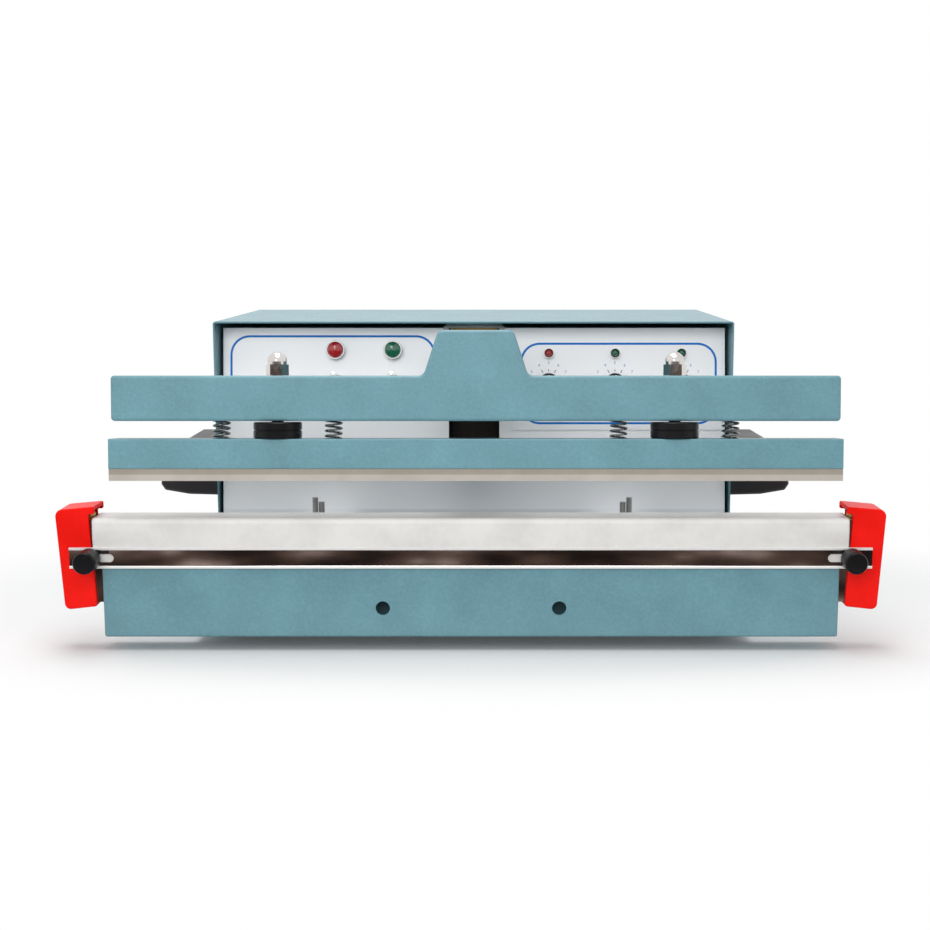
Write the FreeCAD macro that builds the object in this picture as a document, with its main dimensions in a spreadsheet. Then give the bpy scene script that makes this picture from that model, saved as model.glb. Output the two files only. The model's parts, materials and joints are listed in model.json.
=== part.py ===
import FreeCAD, Part
import ast
import math
import os
import re
import Sketcher
from FreeCAD import Placement, Rotation, Vector

# Table-top impulse heat sealer with a magnet-driven press arm.
# Millimetres. X runs along the sealing bar, the front faces -Y, Z is up, and Z = 0 is the underside of the feet.
# The press arm is drawn shut, with its bars level, and stands open by open_angle about its pivot.

# Driving dimensions
SIZES = {
    # feet, pan and sealing bar
    "foot_height": 12.0,
    "foot_radius": 11.0,
    "foot_spread": 430.0,
    "foot_inset": 24.0,
    "foot_setback": 66.0,
    "pan_thick": 2.0,
    "pan_flange": 28.0,
    "bar_depth": 31.0,
    "bar_height": 100.0,
    "bar_wall": 3.0,
    "bar_corner": 2.4,
    "table_hole_spacing": 148.0,
    "table_hole_radius": 6.0,
    "table_hole_rise": 25.0,
    # heating ribbon, its bed and the cloth over it
    "bed_width": 14.0,
    "bed_thick": 0.8,
    "ribbon_width": 5.0,
    "ribbon_thick": 0.3,
    "cloth_overhang": 6.5,
    "cloth_thick": 0.5,
    "cloth_corner": 4.0,
    "cloth_front_drop": 40.0,
    "cloth_rear_drop": 26.0,
    "rear_strip_height": 12.0,
    "rear_strip_thick": 1.5,
    # bright strip that clamps the cloth, and its knobs
    "strip_length": 669.0,
    "strip_overhang": 26.0,
    "strip_height": 17.6,
    "strip_thick": 2.5,
    "strip_bead": 0.8,
    "strip_bead_height": 1.4,
    "strip_rise": 68.5,
    "strip_slot_width": 7.0,
    "strip_slot_length": 16.0,
    "strip_slot_shift": 7.5,
    "clamp_inset": 18.0,
    "clamp_radius": 9.25,
    "clamp_edge": 1.0,
    "clamp_neck": 5.0,
    "clamp_lift": 0.4,
    "clamp_collar_radius": 4.6,
    "clamp_reach": 25.5,
    "clamp_screw_radius": 2.5,
    "clamp_screw_depth": 14.0,
    "slip": 0.1,
    "overshoot": 1.0,
    # bar ends
    "bracket_width": 17.0,
    "terminal_width": 15.0,
    "terminal_screw_inset": 3.0,
    "terminal_screw_depth": 12.0,
    "terminal_head": 3.0,
    "terminal_screw_radius": 2.5,
    "cap_top_rise": 111.5,
    "cap_low_rise": 23.5,
    "cap_wall": 2.5,
    "cap_fit": 0.3,
    "cap_slope": 3.0,
    "cap_inner_low": 5.0,
    "cap_inner_high": 9.5,
    "cap_outer_low": 32.0,
    "cap_outer_high": 37.5,
    "cap_lip": 4.5,
    "cap_lip_height": 6.5,
    "cap_top_round": 6.0,
    "cap_low_round": 5.0,
    "cap_inner_round": 2.5,
    "cap_lip_round": 1.5,
    "cap_edge": 1.2,
    # tie brackets behind the bar, and their screws
    "tie_spread": 268.0,
    "tie_width": 44.0,
    "tie_thick": 3.0,
    "tie_drop": 27.0,
    "tie_flange": 20.0,
    "tie_screw_radius": 2.5,
    "tie_screw_pitch": 5.6,
    "tie_screw_setback": 60.0,
    "tie_screw_tall": 36.0,
    "tie_screw_short": 32.0,
    "tie_screw_foot": 3.0,
    # cabinet
    "cabinet_gap": 142.4,
    "cabinet_depth": 247.6,
    "cabinet_width": 476.0,
    "cabinet_top": 269.3,
    "cabinet_bend": 2.5,
    "sheet": 1.5,
    "rear_reach": 9.0,
    "vent_length": 90.0,
    "vent_height": 5.0,
    "vent_pitch": 12.0,
    "vent_rise": 190.0,
    # sloping front panel
    "panel_recess": 3.0,
    "panel_angle": 8.4,
    "panel_top_gap": 5.8,
    "panel_side_gap": 3.0,
    "pan_side_gap": 0.5,
    "fold_height": 95.0,
    "slot_width": 47.0,
    "slot_low": 45.5,
    "slot_rim": 5.0,
    "slot_rim_corner": 4.5,
    "slot_rim_thick": 2.0,
    "slot_rim_height": 24.0,
    "slot_rim_rise": 5.0,
    "plate_start": 36.0,
    "plate_width": 195.0,
    "plate_drop": 94.8,
    "plate_height": 86.0,
    "plate_thick": 1.0,
    # lamps, switches and dials on the panel
    "lamp_drop": 20.8,
    "lamp_start": 128.7,
    "lamp_pitch": 53.3,
    "lamp_bezel_radius": 8.6,
    "lamp_bezel_depth": 7.0,
    "lamp_seat": 2.0,
    "lamp_lens_radius": 7.4,
    "lamp_hole_radius": 6.0,
    "lamp_reach": 10.0,
    "lamp_body": 26.0,
    "led_drop": 23.8,
    "led_bezel_radius": 4.7,
    "led_bezel_rim": 0.6,
    "led_bezel_depth": 4.5,
    "led_radius": 3.1,
    "led_reach": 6.0,
    "dial_drop": 51.8,
    "dial_start": 69.5,
    "dial_pitch": 61.6,
    "dial_knob_radius": 9.5,
    "dial_knob_height": 14.0,
    "dial_lift": 0.6,
    "dial_edge": 0.8,
    "dial_skirt": 3.0,
    "dial_step": 1.0,
    "dial_bush_clear": 0.4,
    "dial_bush_reach": 3.0,
    "dial_face_thick": 1.2,
    "pointer_width": 1.4,
    "pointer_depth": 1.2,
    "pointer_lift": 0.4,
    "dial_shaft_radius": 3.0,
    "dial_bush_radius": 3.5,
    "pot_radius": 8.5,
    "pot_depth": 11.0,
    "board_height": 70.0,
    "board_thick": 1.6,
    "board_margin": 6.0,
    "relay_width": 28.0,
    "relay_depth": 16.0,
    "relay_height": 20.0,
    "store_radius": 9.0,
    "store_length": 26.0,
    "store_drop": 12.0,
    "chip_width": 20.0,
    "chip_depth": 4.0,
    "chip_height": 8.0,
    "toggle_bush_radius": 5.8,
    "toggle_bush_reach": 7.0,
    "toggle_mouth_radius": 3.6,
    "toggle_reach": 25.0,
    "toggle_tip_radius": 3.3,
    "toggle_neck_radius": 1.6,
    "toggle_angle": 16.0,
    "toggle_body_depth": 18.0,
    "toggle_body_width": 13.0,
    "toggle_body_height": 20.0,
    "toggle_nut_height": 2.2,
    # carry handles
    "handle_setback": 52.0,
    "handle_length": 112.0,
    "handle_reach": 65.0,
    "handle_top": 150.0,
    "handle_low": 99.5,
    "handle_wall": 6.0,
    "handle_round": 3.0,
    "handle_belly": 1.0,
    "handle_toe": 5.0,
    "handle_nose": 11.0,
    "handle_brow": 19.0,
    "handle_shoulder": 8.0,
    "case_screw_radius": 2.5,
    "case_screw_head": 4.5,
    "case_screw_head_height": 2.6,
    # press arm pivot and lever
    "pivot_drop": 64.3,
    "open_angle": 5.95,
    "shaft_radius": 7.0,
    "run_clear": 0.05,
    "bush_wall": 3.0,
    "lever_width": 38.0,
    "lever_sheet": 4.0,
    "lever_rise": 23.1,
    "lever_drop": 5.6,
    "lever_tail": 44.0,
    "cheek_front": 22.0,
    "cheek_drop": 18.8,
    "shaft_over": 8.0,
    "clip_thick": 3.0,
    "tail_pin_radius": 4.0,
    "tail_pin_reach": 34.0,
    "stand_plate": 6.0,
    "stand_depth": 56.0,
    "stand_foot": 4.0,
    "stand_clear": 1.0,
    "buffer_setback": 172.0,
    "buffer_length": 26.0,
    "buffer_width": 44.0,
    "buffer_height": 21.15,
    "buffer_gap": 0.4,
    # press beam, pressure bar and pad
    "beam_inset": 8.5,
    "beam_depth": 31.0,
    "beam_height": 37.4,
    "beam_wall": 5.0,
    "beam_round": 2.5,
    "beam_end_round": 3.0,
    "hump_low_width": 86.0,
    "hump_top_width": 62.0,
    "hump_round": 6.0,
    "pressbar_inset": 6.5,
    "pressbar_depth": 33.0,
    "pressbar_height": 24.7,
    "pressbar_round": 1.2,
    "press_gap": 14.6,
    "press_float": 0.8,
    "head_side": 4.5,
    "pad_height": 9.9,
    "pad_depth": 31.0,
    "tongue_width": 14.0,
    "tongue_height": 4.0,
    "seal_gap": 0.3,
    # guide bolts, nuts, wheels and springs
    "bolt_spread": 330.0,
    "bolt_radius": 5.0,
    "bolt_clear": 0.3,
    "bolt_sink": 14.0,
    "nut_flats": 16.5,
    "nut_height": 9.0,
    "nut_dome": 10.5,
    "nut_lift": 0.3,
    "wheel_radius": 20.0,
    "wheel_height": 13.2,
    "wheel_edge": 0.8,
    "wheel_seam": 0.6,
    "wheel_seam_depth": 0.8,
    "wheel_lift": 0.3,
    "spring_offset": 46.5,
    "spring_outer_radius": 7.6,
    "spring_wire": 1.8,
    "spring_turns": 3.5,
    "spring_pocket": 3.2,
    "spring_seat_clear": 0.3,
    "spring_seat_lift": 0.05,
    # magnet and return spring
    "magnet_width": 66.0,
    "magnet_depth": 60.0,
    "magnet_height": 118.0,
    "magnet_limb": 10.5,
    "magnet_window": 12.0,
    "magnet_setback": 204.0,
    "magnet_clear": 6.8,
    "magnet_sill": 6.0,
    "armature_thick": 6.0,
    "armature_gap": 0.4,
    "coil_build": 11.2,
    "coil_height": 84.0,
    "coil_clear": 0.2,
    "coil_rise": 1.0,
    "return_outer_radius": 9.5,
    "return_wire": 2.4,
    "return_pitch": 5.4,
    "return_seat_lift": 0.1,
    # transformer
    "core_width": 96.0,
    "core_depth": 60.0,
    "core_height": 80.0,
    "core_limb": 16.0,
    "transformer_x": 160.0,
    "transformer_setback": 250.0,
    "winding_bulge": 14.0,
    "winding_clear": 0.5,
    # mains inlet and fuse
    "inlet_x": 150.0,
    "inlet_rise": 60.0,
    "inlet_width": 50.0,
    "inlet_height": 28.0,
    "inlet_flange": 3.0,
    "socket_width": 25.0,
    "socket_height": 17.0,
    "socket_depth": 16.0,
    "pin_pitch": 7.0,
    "pin_width": 2.0,
    "pin_height": 4.0,
    "pin_drop": 2.0,
    "pin_rise": 3.0,
    "fuse_x": 90.0,
    "fuse_radius": 6.0,
    "fuse_cap_radius": 8.5,
    "fuse_depth": 30.0,
    "fuse_collar": 2.0,
    "fuse_gap": 0.3,
    "coin_slot_width": 1.6,
    "coin_slot_depth": 2.0,
}

# Places worked out from the driving dimensions
PLACES = {
    "front_y": "(clamp_reach - cabinet_gap - cabinet_depth - rear_reach) / 2",
    "bar_length": "strip_length - 2 * strip_overhang",
    "cloth_length": "bar_length + 2 * cloth_overhang",
    "clamp_spread": "strip_length - 2 * clamp_inset",
    "beam_length": "bar_length - 2 * beam_inset",
    "pressbar_length": "bar_length - 2 * pressbar_inset",
    "bar_top": "foot_height + bar_height",
    "bar_end": "bar_length / 2",
    "bar_back": "front_y + bar_depth",
    "ribbon_top": "bar_top + bed_thick + ribbon_thick",
    "cloth_top": "ribbon_top + cloth_thick",
    "stud_out": "bar_end + terminal_width - terminal_screw_inset",
    "bracket_low": "foot_height + cap_low_rise + 1.2 * cap_slope + cap_wall + cap_fit",
    "strip_z": "foot_height + strip_rise",
    "strip_back": "front_y - cloth_thick",
    "clamp_seat": "strip_back - strip_thick",
    "cab_front": "front_y + cabinet_gap",
    "cab_back": "cab_front + cabinet_depth",
    "cab_half": "cabinet_width / 2",
    "cab_inside": "cab_half - sheet",
    "pan_top": "foot_height + pan_thick",
    "panel_y": "cab_front + panel_recess",
    "panel_length": "(cabinet_top - sheet - panel_top_gap - fold_height) / cos(panel_angle)",
    "plate_low": "panel_length - plate_drop",
    "lamp_row": "panel_length - lamp_drop",
    "led_row": "panel_length - led_drop",
    "dial_row": "panel_length - dial_drop",
    "slot_rim_top": "panel_length + slot_rim_rise",
    "slot_rim_low": "slot_rim_top - slot_rim_height",
    "pivot_setback": "magnet_setback + magnet_depth + coil_build + magnet_clear + stand_depth / 2",
    "pivot_y": "front_y + pivot_setback",
    "pivot_height": "cabinet_top - pivot_drop",
    # the next places are measured from the pivot, with the arm shut
    "arm_front": "-pivot_setback",
    "pad_low": "cloth_top + seal_gap - pivot_height",
    "press_low": "pad_low + pad_height",
    "press_top": "press_low + pressbar_height",
    "beam_low": "press_top + press_gap",
    "beam_top": "beam_low + beam_height",
    "buffer_lift": "(pivot_setback - buffer_setback) * sin(open_angle)",
    "buffer_top": "(cabinet_top - sheet - buffer_gap - pivot_height - buffer_lift) / cos(open_angle)",
    "lever_top": "buffer_top - buffer_height",
    "lever_low": "beam_low + lever_rise",
    "hump_top": "lever_top + lever_drop",
    "bolt_y": "arm_front + beam_depth / 2",
    "bolt_x": "bolt_spread / 2",
    "tail_pin_z": "tail_pin_radius + lever_sheet - cheek_drop",
    "magnet_y": "magnet_setback - pivot_setback",
    "armature_low": "lever_low - armature_thick",
    # the next places are back in the cabinet's own frame
    "magnet_top": "pivot_height + armature_low - armature_gap",
    "magnet_low": "magnet_top - magnet_height",
    "stand_inside": "lever_width / 2 + stand_clear",
}

OPERATIONS = {
    ast.Add: lambda a, b: a + b,
    ast.Sub: lambda a, b: a - b,
    ast.Mult: lambda a, b: a * b,
    ast.Div: lambda a, b: a / b,
}
TRIG = {"sin": math.sin, "cos": math.cos, "tan": math.tan}


def number(text):
    """The value of a formula written in the names above, read from the two sheets as a plain number."""
    return walk(ast.parse(str(text).strip()).body[0].value)


def walk(node):
    if isinstance(node, ast.Constant):
        return float(node.value)
    if isinstance(node, ast.Name):
        return float((sizes if node.id in SIZES else places).get(node.id))
    if isinstance(node, ast.UnaryOp):
        return -walk(node.operand)
    if isinstance(node, ast.Call):
        return TRIG[node.func.id](math.radians(walk(node.args[0])))
    return OPERATIONS[type(node.op)](walk(node.left), walk(node.right))


def bound(text):
    """The same formula with each name pointing at its cell."""

    def cell(match):
        name = match.group(0)
        if name in SIZES:
            return "Sizes." + name
        return "Places." + name if name in PLACES else name

    return re.sub(r"[a-z_][a-z_0-9]*", cell, str(text))


def bind(thing, prop, text):
    thing.setExpression(prop, bound(text))


doc = FreeCAD.newDocument("ImpulseSealer")
sizes = doc.addObject("Spreadsheet::Sheet", "Sizes")
for row, (alias, size) in enumerate(SIZES.items(), 1):
    sizes.set(f"A{row}", alias)
    sizes.set(f"B{row}", str(size))
    sizes.setAlias(f"B{row}", alias)
places = doc.addObject("Spreadsheet::Sheet", "Places")
for row, (alias, formula) in enumerate(PLACES.items(), 1):
    places.set(f"A{row}", alias)
    places.set(f"B{row}", "=" + bound(formula))
    places.setAlias(f"B{row}", alias)
doc.recompute()

# Frames that pieces are placed in: origin and turn about X
FRAMES = {
    "cabinet": ("0", "0", "0", "0"),
    "arm": ("0", "pivot_y", "pivot_height", "-open_angle"),
    "head": ("head_side", "pivot_y", "pivot_height", "-open_angle"),
    "panel": ("0", "panel_y", "fold_height", "-panel_angle"),
}
NODES = []


def frame_placement(frame):
    x, y, z, turn = (number(text) for text in FRAMES[frame])
    return Placement(Vector(x, y, z), Rotation(Vector(1, 0, 0), turn))


def node(label, piece, frame="cabinet"):
    """Name a finished piece and set it in its frame."""
    piece.Label = label
    if frame != "cabinet":
        x, y, z, turn = FRAMES[frame]
        piece.Placement = frame_placement(frame)
        bind(piece, "Placement.Base.x", x)
        bind(piece, "Placement.Base.y", y)
        bind(piece, "Placement.Base.z", z)
        bind(piece, "Placement.Rotation.Angle", turn)
    NODES.append(piece)
    return piece


# Plain solids and booleans
def box(x_mid, y, z, width, depth, height):
    """A block centred on x_mid, with its front face at y and its underside at z."""
    block = doc.addObject("Part::Box", "Block")
    bind(block, "Length", width)
    bind(block, "Width", depth)
    bind(block, "Height", height)
    bind(block, "Placement.Base.x", f"{x_mid} - ({width}) / 2")
    bind(block, "Placement.Base.y", y)
    bind(block, "Placement.Base.z", z)
    return block


AXES = {"x": Rotation(Vector(0, 1, 0), 90), "y": Rotation(Vector(1, 0, 0), -90), "z": Rotation()}


def rod(x, y, z, radius, length, axis="z"):
    """A cylinder that starts at the point and runs along +axis."""
    solid = doc.addObject("Part::Cylinder", "Rod")
    solid.Placement = Placement(Vector(), AXES[axis])
    bind(solid, "Radius", radius)
    bind(solid, "Height", length)
    for letter, text in zip("xyz", (x, y, z)):
        bind(solid, f"Placement.Base.{letter}", text)
    return solid


def ball(x, y, z, radius):
    solid = doc.addObject("Part::Sphere", "Ball")
    bind(solid, "Radius", radius)
    for letter, text in zip("xyz", (x, y, z)):
        bind(solid, f"Placement.Base.{letter}", text)
    return solid


def joined(*pieces):
    fused = doc.addObject("Part::MultiFuse", "Joined")
    fused.Shapes = list(pieces)
    fused.Refine = True
    return fused


def cut(base, *tools):
    result = doc.addObject("Part::Cut", "Cut")
    result.Base = base
    result.Tool = tools[0] if len(tools) == 1 else joined(*tools)
    return result


def group(*pieces):
    """Separate like solids that share one node."""
    bunch = doc.addObject("Part::Compound", "Group")
    bunch.Links = list(pieces)
    return bunch


# Sketched bodies
def new_body():
    return doc.addObject("PartDesign::Body", "Body")


def outline(body, plane, points, offset="0"):
    """A closed outline of straight sides on one of the body's planes; each corner is tied to its formulas."""
    sketch = body.newObject("Sketcher::SketchObject", "Outline")
    support = [item for item in body.Origin.OriginFeatures if item.Role == plane + "_Plane"][0]
    sketch.AttachmentSupport = [(support, "")]
    sketch.MapMode = "FlatFace"
    bind(sketch, "AttachmentOffset.Base.z", f"-({offset})" if plane == "XZ" else offset)
    corners = [Vector(number(across), number(along), 0) for across, along in points]
    for start, end in zip(corners, corners[1:] + corners[:1]):
        sketch.addGeometry(Part.LineSegment(start, end))
    count = len(points)
    for index in range(count):
        sketch.addConstraint(Sketcher.Constraint("Coincident", index, 2, (index + 1) % count, 1))
    for index, (across, along) in enumerate(points):
        for kind, text in (("DistanceX", across), ("DistanceY", along)):
            rule = Sketcher.Constraint(kind, -1, 1, index, 1, number(text))
            bind(sketch, f"Constraints[{sketch.addConstraint(rule)}]", text)
    return sketch


def pad(body, plane, points, length, start="0"):
    """Add a prism on the outline from start along the plane's axis (+Y for XZ, +X for YZ, +Z for XY)."""
    feature = body.newObject("PartDesign::Pad", "Pad")
    feature.Profile = outline(body, plane, points, start)
    bind(feature, "Length", length)
    feature.Reversed = plane == "XZ"
    doc.recompute()
    return feature


def pocket(body, plane, points, length, start="0"):
    """Take a prism away, from start along the plane's axis, and make sure that it cuts."""
    before = body.Shape.Volume
    feature = body.newObject("PartDesign::Pocket", "Pocket")
    feature.Profile = outline(body, plane, points, start)
    bind(feature, "Length", length)
    feature.Reversed = plane != "XZ"
    doc.recompute()
    if body.Shape.Volume >= before:
        raise RuntimeError(f"a pocket of {body.Name} cuts nothing")
    return feature


def turned(plane, points, x="0", y="0", z="0"):
    """A body turned about the second axis of its outline (Z for XZ, Y for XY), moved to x, y, z."""
    body = new_body()
    sketch = outline(body, plane, points)
    shift = {"XZ": (x, z, f"-({y})"), "XY": (x, y, z)}[plane]
    for letter, text in zip("xyz", shift):
        bind(sketch, f"AttachmentOffset.Base.{letter}", text)
    feature = body.newObject("PartDesign::Revolution", "Turned")
    feature.Profile = sketch
    feature.ReferenceAxis = (sketch, ["V_Axis"])
    feature.Angle = 360
    doc.recompute()
    return body


def rounded(body, radius, wanted):
    """Round the edges for which wanted(middle, direction, edge) is true."""
    base = body.Tip
    names = []
    for index, edge in enumerate(base.Shape.Edges, 1):
        ends = edge.Vertexes
        run = (ends[-1].Point - ends[0].Point) if len(ends) > 1 else Vector()
        direction = run.normalize() if run.Length > 0 else run
        if wanted(edge.CenterOfMass, direction, edge):
            names.append(f"Edge{index}")
    feature = body.newObject("PartDesign::Fillet", "Rounded")
    feature.Base = (base, names)
    bind(feature, "Radius", radius)
    doc.recompute()
    return feature


def corner(x, z):
    """Picks the edge that runs along Y through the given x and z."""
    spot = Vector(number(x), 0, number(z))
    return lambda middle, run, edge: abs(run.y) > 0.99 and (Vector(middle.x, 0, middle.z) - spot).Length < 0.1


# Wound wire
def arc(start, tangent, end):
    chord = end - start
    unit = Vector(chord).normalize()
    angle = tangent.getAngle(unit)
    bulge = (tangent - unit * tangent.dot(unit)).normalize()
    middle = (start + end) * 0.5 + bulge * (chord.Length / 2 * math.tan(angle / 2))
    return Part.Arc(start, middle, end).toShape()


def biarc(start, start_tangent, end, end_tangent):
    """Two arcs that leave start and reach end along the given tangents."""
    chord = end - start
    total = start_tangent + end_tangent
    twice = 2 * (1 - start_tangent.dot(end_tangent))
    lean = chord.dot(total)
    reach = (math.sqrt(lean * lean + twice * chord.dot(chord)) - lean) / twice
    middle = (start + end + (start_tangent - end_tangent) * reach) * 0.5
    first = arc(start, start_tangent, middle)
    return [first, arc(middle, first.tangentAt(first.LastParameter), end)]


def coil(label, outer_radius, wire, height, turns):
    """A wire wound round Z from 0 to height, whose ends stand straight up for one wire diameter."""
    radius = outer_radius - wire / 2
    lead = radius * 0.4
    climb = height - 2 * (wire + lead)
    up = Vector(0, 0, 1)

    def spot(turn, level):
        angle = 2 * math.pi * turn
        return Vector(radius * math.cos(angle), radius * math.sin(angle), level)

    def heading(turn):
        angle = 2 * math.pi * turn
        rise = climb / turns / (2 * math.pi)
        return Vector(-radius * math.sin(angle), radius * math.cos(angle), rise).normalize()

    quarters = round(turns * 4)
    knots = [(spot(0, 0), up), (spot(0, wire), up)]
    for index in range(quarters + 1):
        turn = 0.25 + index / 4
        knots.append((spot(turn, wire + lead + climb * index / quarters), heading(turn)))
    last = 0.5 + quarters / 4
    knots += [(spot(last, height - wire), up), (spot(last, height), up)]
    edges = [Part.LineSegment(knots[0][0], knots[1][0]).toShape()]
    for (start, leave), (end, arrive) in zip(knots[1:-2], knots[2:-1]):
        edges += biarc(start, leave, end, arrive)
    edges.append(Part.LineSegment(knots[-2][0], knots[-1][0]).toShape())
    path = Part.Wire(edges)
    circle = Part.Wire(Part.makeCircle(wire / 2, knots[0][0], up))
    solid = path.makePipeShell([circle], True, False)
    print(label, "least gap of the wire to itself:", round(self_gap(path, wire), 2), "mm")
    return solid


def self_gap(path, wire):
    """The least clear distance between stretches of the wire that are over half a turn apart."""
    points = path.discretize(Number=600)
    step = path.Length / 599
    apart = int(4 * wire / step) + 1
    least = min(
        (points[i] - points[j]).Length
        for i in range(0, len(points), 2)
        for j in range(i + apart, len(points))
    )
    return least - wire


def wound(label, solids, frame):
    """Coils that are set in a frame by their own shapes."""
    piece = doc.addObject("Part::Feature", "Wound")
    piece.Shape = Part.makeCompound(solids)
    piece.Label = label
    piece.Placement = frame_placement(frame)
    NODES.append(piece)


SIDES = {"left": -1, "right": 1}


# Feet and base pan
def make_base():
    feet = []
    for side in SIDES.values():
        for y in ("front_y + foot_setback", "cab_back - foot_inset"):
            taper = [
                ("0", "0"),
                ("foot_radius * 0.8", "0"),
                ("foot_radius", "foot_height * 0.5"),
                ("foot_radius", "foot_height"),
                ("0", "foot_height"),
            ]
            feet.append(turned("XZ", taper, x=f"{side} * foot_spread / 2", y=y))
    node("rubber_feet", group(*feet))
    width = "2 * (cab_inside - pan_side_gap)"
    floor = box("0", "bar_back", "foot_height", width, "cab_back - sheet - bar_back", "pan_thick")
    flange = box("0", "bar_back", "foot_height", width, "pan_thick", "pan_flange")
    node("base_pan", joined(floor, flange))


# Sealing bar, ribbon, cloth and clamp strip
def make_sealing_bar():
    bar = new_body()
    half = "bar_depth / 2"
    middle_y = "front_y + bar_depth / 2"
    section = [
        (f"{middle_y} - {half}", "foot_height"),
        (f"{middle_y} + {half}", "foot_height"),
        (f"{middle_y} + {half}", "bar_top"),
        (f"{middle_y} - {half}", "bar_top"),
    ]
    pad(bar, "YZ", section, "bar_length", "-bar_end")
    rounded(bar, "bar_corner", lambda middle, run, edge: True)
    cell = "(bar_height - 3 * bar_wall) / 2"
    for low in ("foot_height + bar_wall", f"foot_height + 2 * bar_wall + {cell}"):
        hollow = [
            ("front_y + bar_wall", low),
            ("bar_back - bar_wall", low),
            ("bar_back - bar_wall", f"{low} + {cell}"),
            ("front_y + bar_wall", f"{low} + {cell}"),
        ]
        pocket(bar, "YZ", hollow, "bar_length", "-bar_end")
    holes = [
        rod(
            f"{side} * table_hole_spacing / 2",
            "front_y - bar_wall",
            "foot_height + table_hole_rise",
            "table_hole_radius",
            "3 * bar_wall",
            "y",
        )
        for side in SIDES.values()
    ]
    node("sealing_bar", cut(bar, *holes))
    middle = "front_y + bar_depth / 2"
    node(
        "element_bed",
        box("0", f"{middle} - bed_width / 2", "bar_top", "bar_length", "bed_width", "bed_thick"),
    )
    ribbon_y = f"{middle} - ribbon_width / 2"
    ribbon_length = "2 * (stud_out - terminal_screw_radius - slip)"
    node(
        "heating_element",
        box("0", ribbon_y, "bar_top + bed_thick", ribbon_length, "ribbon_width", "ribbon_thick"),
    )
    outer = cloth_sleeve("cloth_thick", "cloth_corner")
    inner = cloth_sleeve("0", "cloth_corner - cloth_thick")
    short_rear = box(
        "0",
        "bar_back",
        "cloth_top - cloth_front_drop",
        "cloth_length",
        "cloth_thick",
        "cloth_front_drop - cloth_rear_drop",
    )
    screw_holes = [
        rod(
            f"{side} * clamp_spread / 2",
            "front_y - 2 * cloth_thick",
            "strip_z",
            "clamp_screw_radius + cap_fit",
            "3 * cloth_thick",
            "y",
        )
        for side in SIDES.values()
    ]
    node("ptfe_cloth", cut(outer, inner, short_rear, *screw_holes))
    node(
        "rear_cloth_strip",
        box(
            "0",
            "bar_back + cloth_thick",
            "cloth_top - cloth_rear_drop",
            "bar_length",
            "rear_strip_thick",
            "rear_strip_height",
        ),
    )


def cloth_sleeve(skin, corner_radius):
    """The block that the cloth goes round, grown by the skin, with its two top edges rounded."""
    sleeve = new_body()
    low = "cloth_top - cloth_front_drop"
    high = f"ribbon_top + {skin}"
    section = [
        (f"front_y - {skin}", low),
        (f"bar_back + {skin}", low),
        (f"bar_back + {skin}", high),
        (f"front_y - {skin}", high),
    ]
    pad(sleeve, "YZ", section, "cloth_length", "-cloth_length / 2")
    top = number(high)
    rounded(sleeve, corner_radius, lambda middle, run, edge: abs(run.x) > 0.99 and abs(middle.z - top) < 0.01)
    return sleeve


def make_clamp():
    strip = new_body()
    front = "clamp_seat"
    low = "strip_z - strip_height / 2"
    high = "strip_z + strip_height / 2"
    bead = "strip_bead_height"
    section = [
        ("strip_back", low),
        ("strip_back", high),
        (front, high),
        (front, f"{high} - {bead}"),
        (f"{front} + strip_bead", f"{high} - {bead} - strip_bead"),
        (f"{front} + strip_bead", f"{low} + {bead} + strip_bead"),
        (front, f"{low} + {bead}"),
        (front, low),
    ]
    pad(strip, "YZ", section, "strip_length", "-strip_length / 2")
    tools = []
    for side in SIDES.values():
        middle = f"{side} * (clamp_spread / 2 - strip_slot_shift)"
        inner = f"{side} * (clamp_spread / 2 - strip_slot_shift - strip_slot_length / 2)"
        outer = f"{side} * (clamp_spread / 2 - strip_slot_shift + strip_slot_length / 2)"
        straight = box(
            middle,
            "clamp_seat - strip_thick",
            "strip_z - strip_slot_width / 2",
            "strip_slot_length",
            "3 * strip_thick",
            "strip_slot_width",
        )
        ends = [
            rod(x, "clamp_seat - strip_thick", "strip_z", "strip_slot_width / 2", "3 * strip_thick", "y")
            for x in (inner, outer)
        ]
        tools += [straight, *ends]
    node("clamp_strip", cut(strip, *tools))
    for name, side in SIDES.items():
        tip = "front_y + clamp_screw_depth"
        face = "front_y - clamp_reach"
        seat = "clamp_seat + strip_bead"
        profile = [
            ("0", face),
            ("clamp_radius - clamp_edge", face),
            ("clamp_radius", f"{face} + clamp_edge"),
            ("clamp_radius", "clamp_seat - clamp_neck"),
            ("clamp_collar_radius", "clamp_seat - clamp_neck + clamp_edge"),
            ("clamp_collar_radius", f"{seat} - clamp_lift"),
            ("clamp_screw_radius", f"{seat} - clamp_lift"),
            ("clamp_screw_radius", tip),
            ("0", tip),
        ]
        node(f"clamp_knob_{name}", turned("XY", profile, x=f"{side} * clamp_spread / 2", z="strip_z"))


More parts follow.
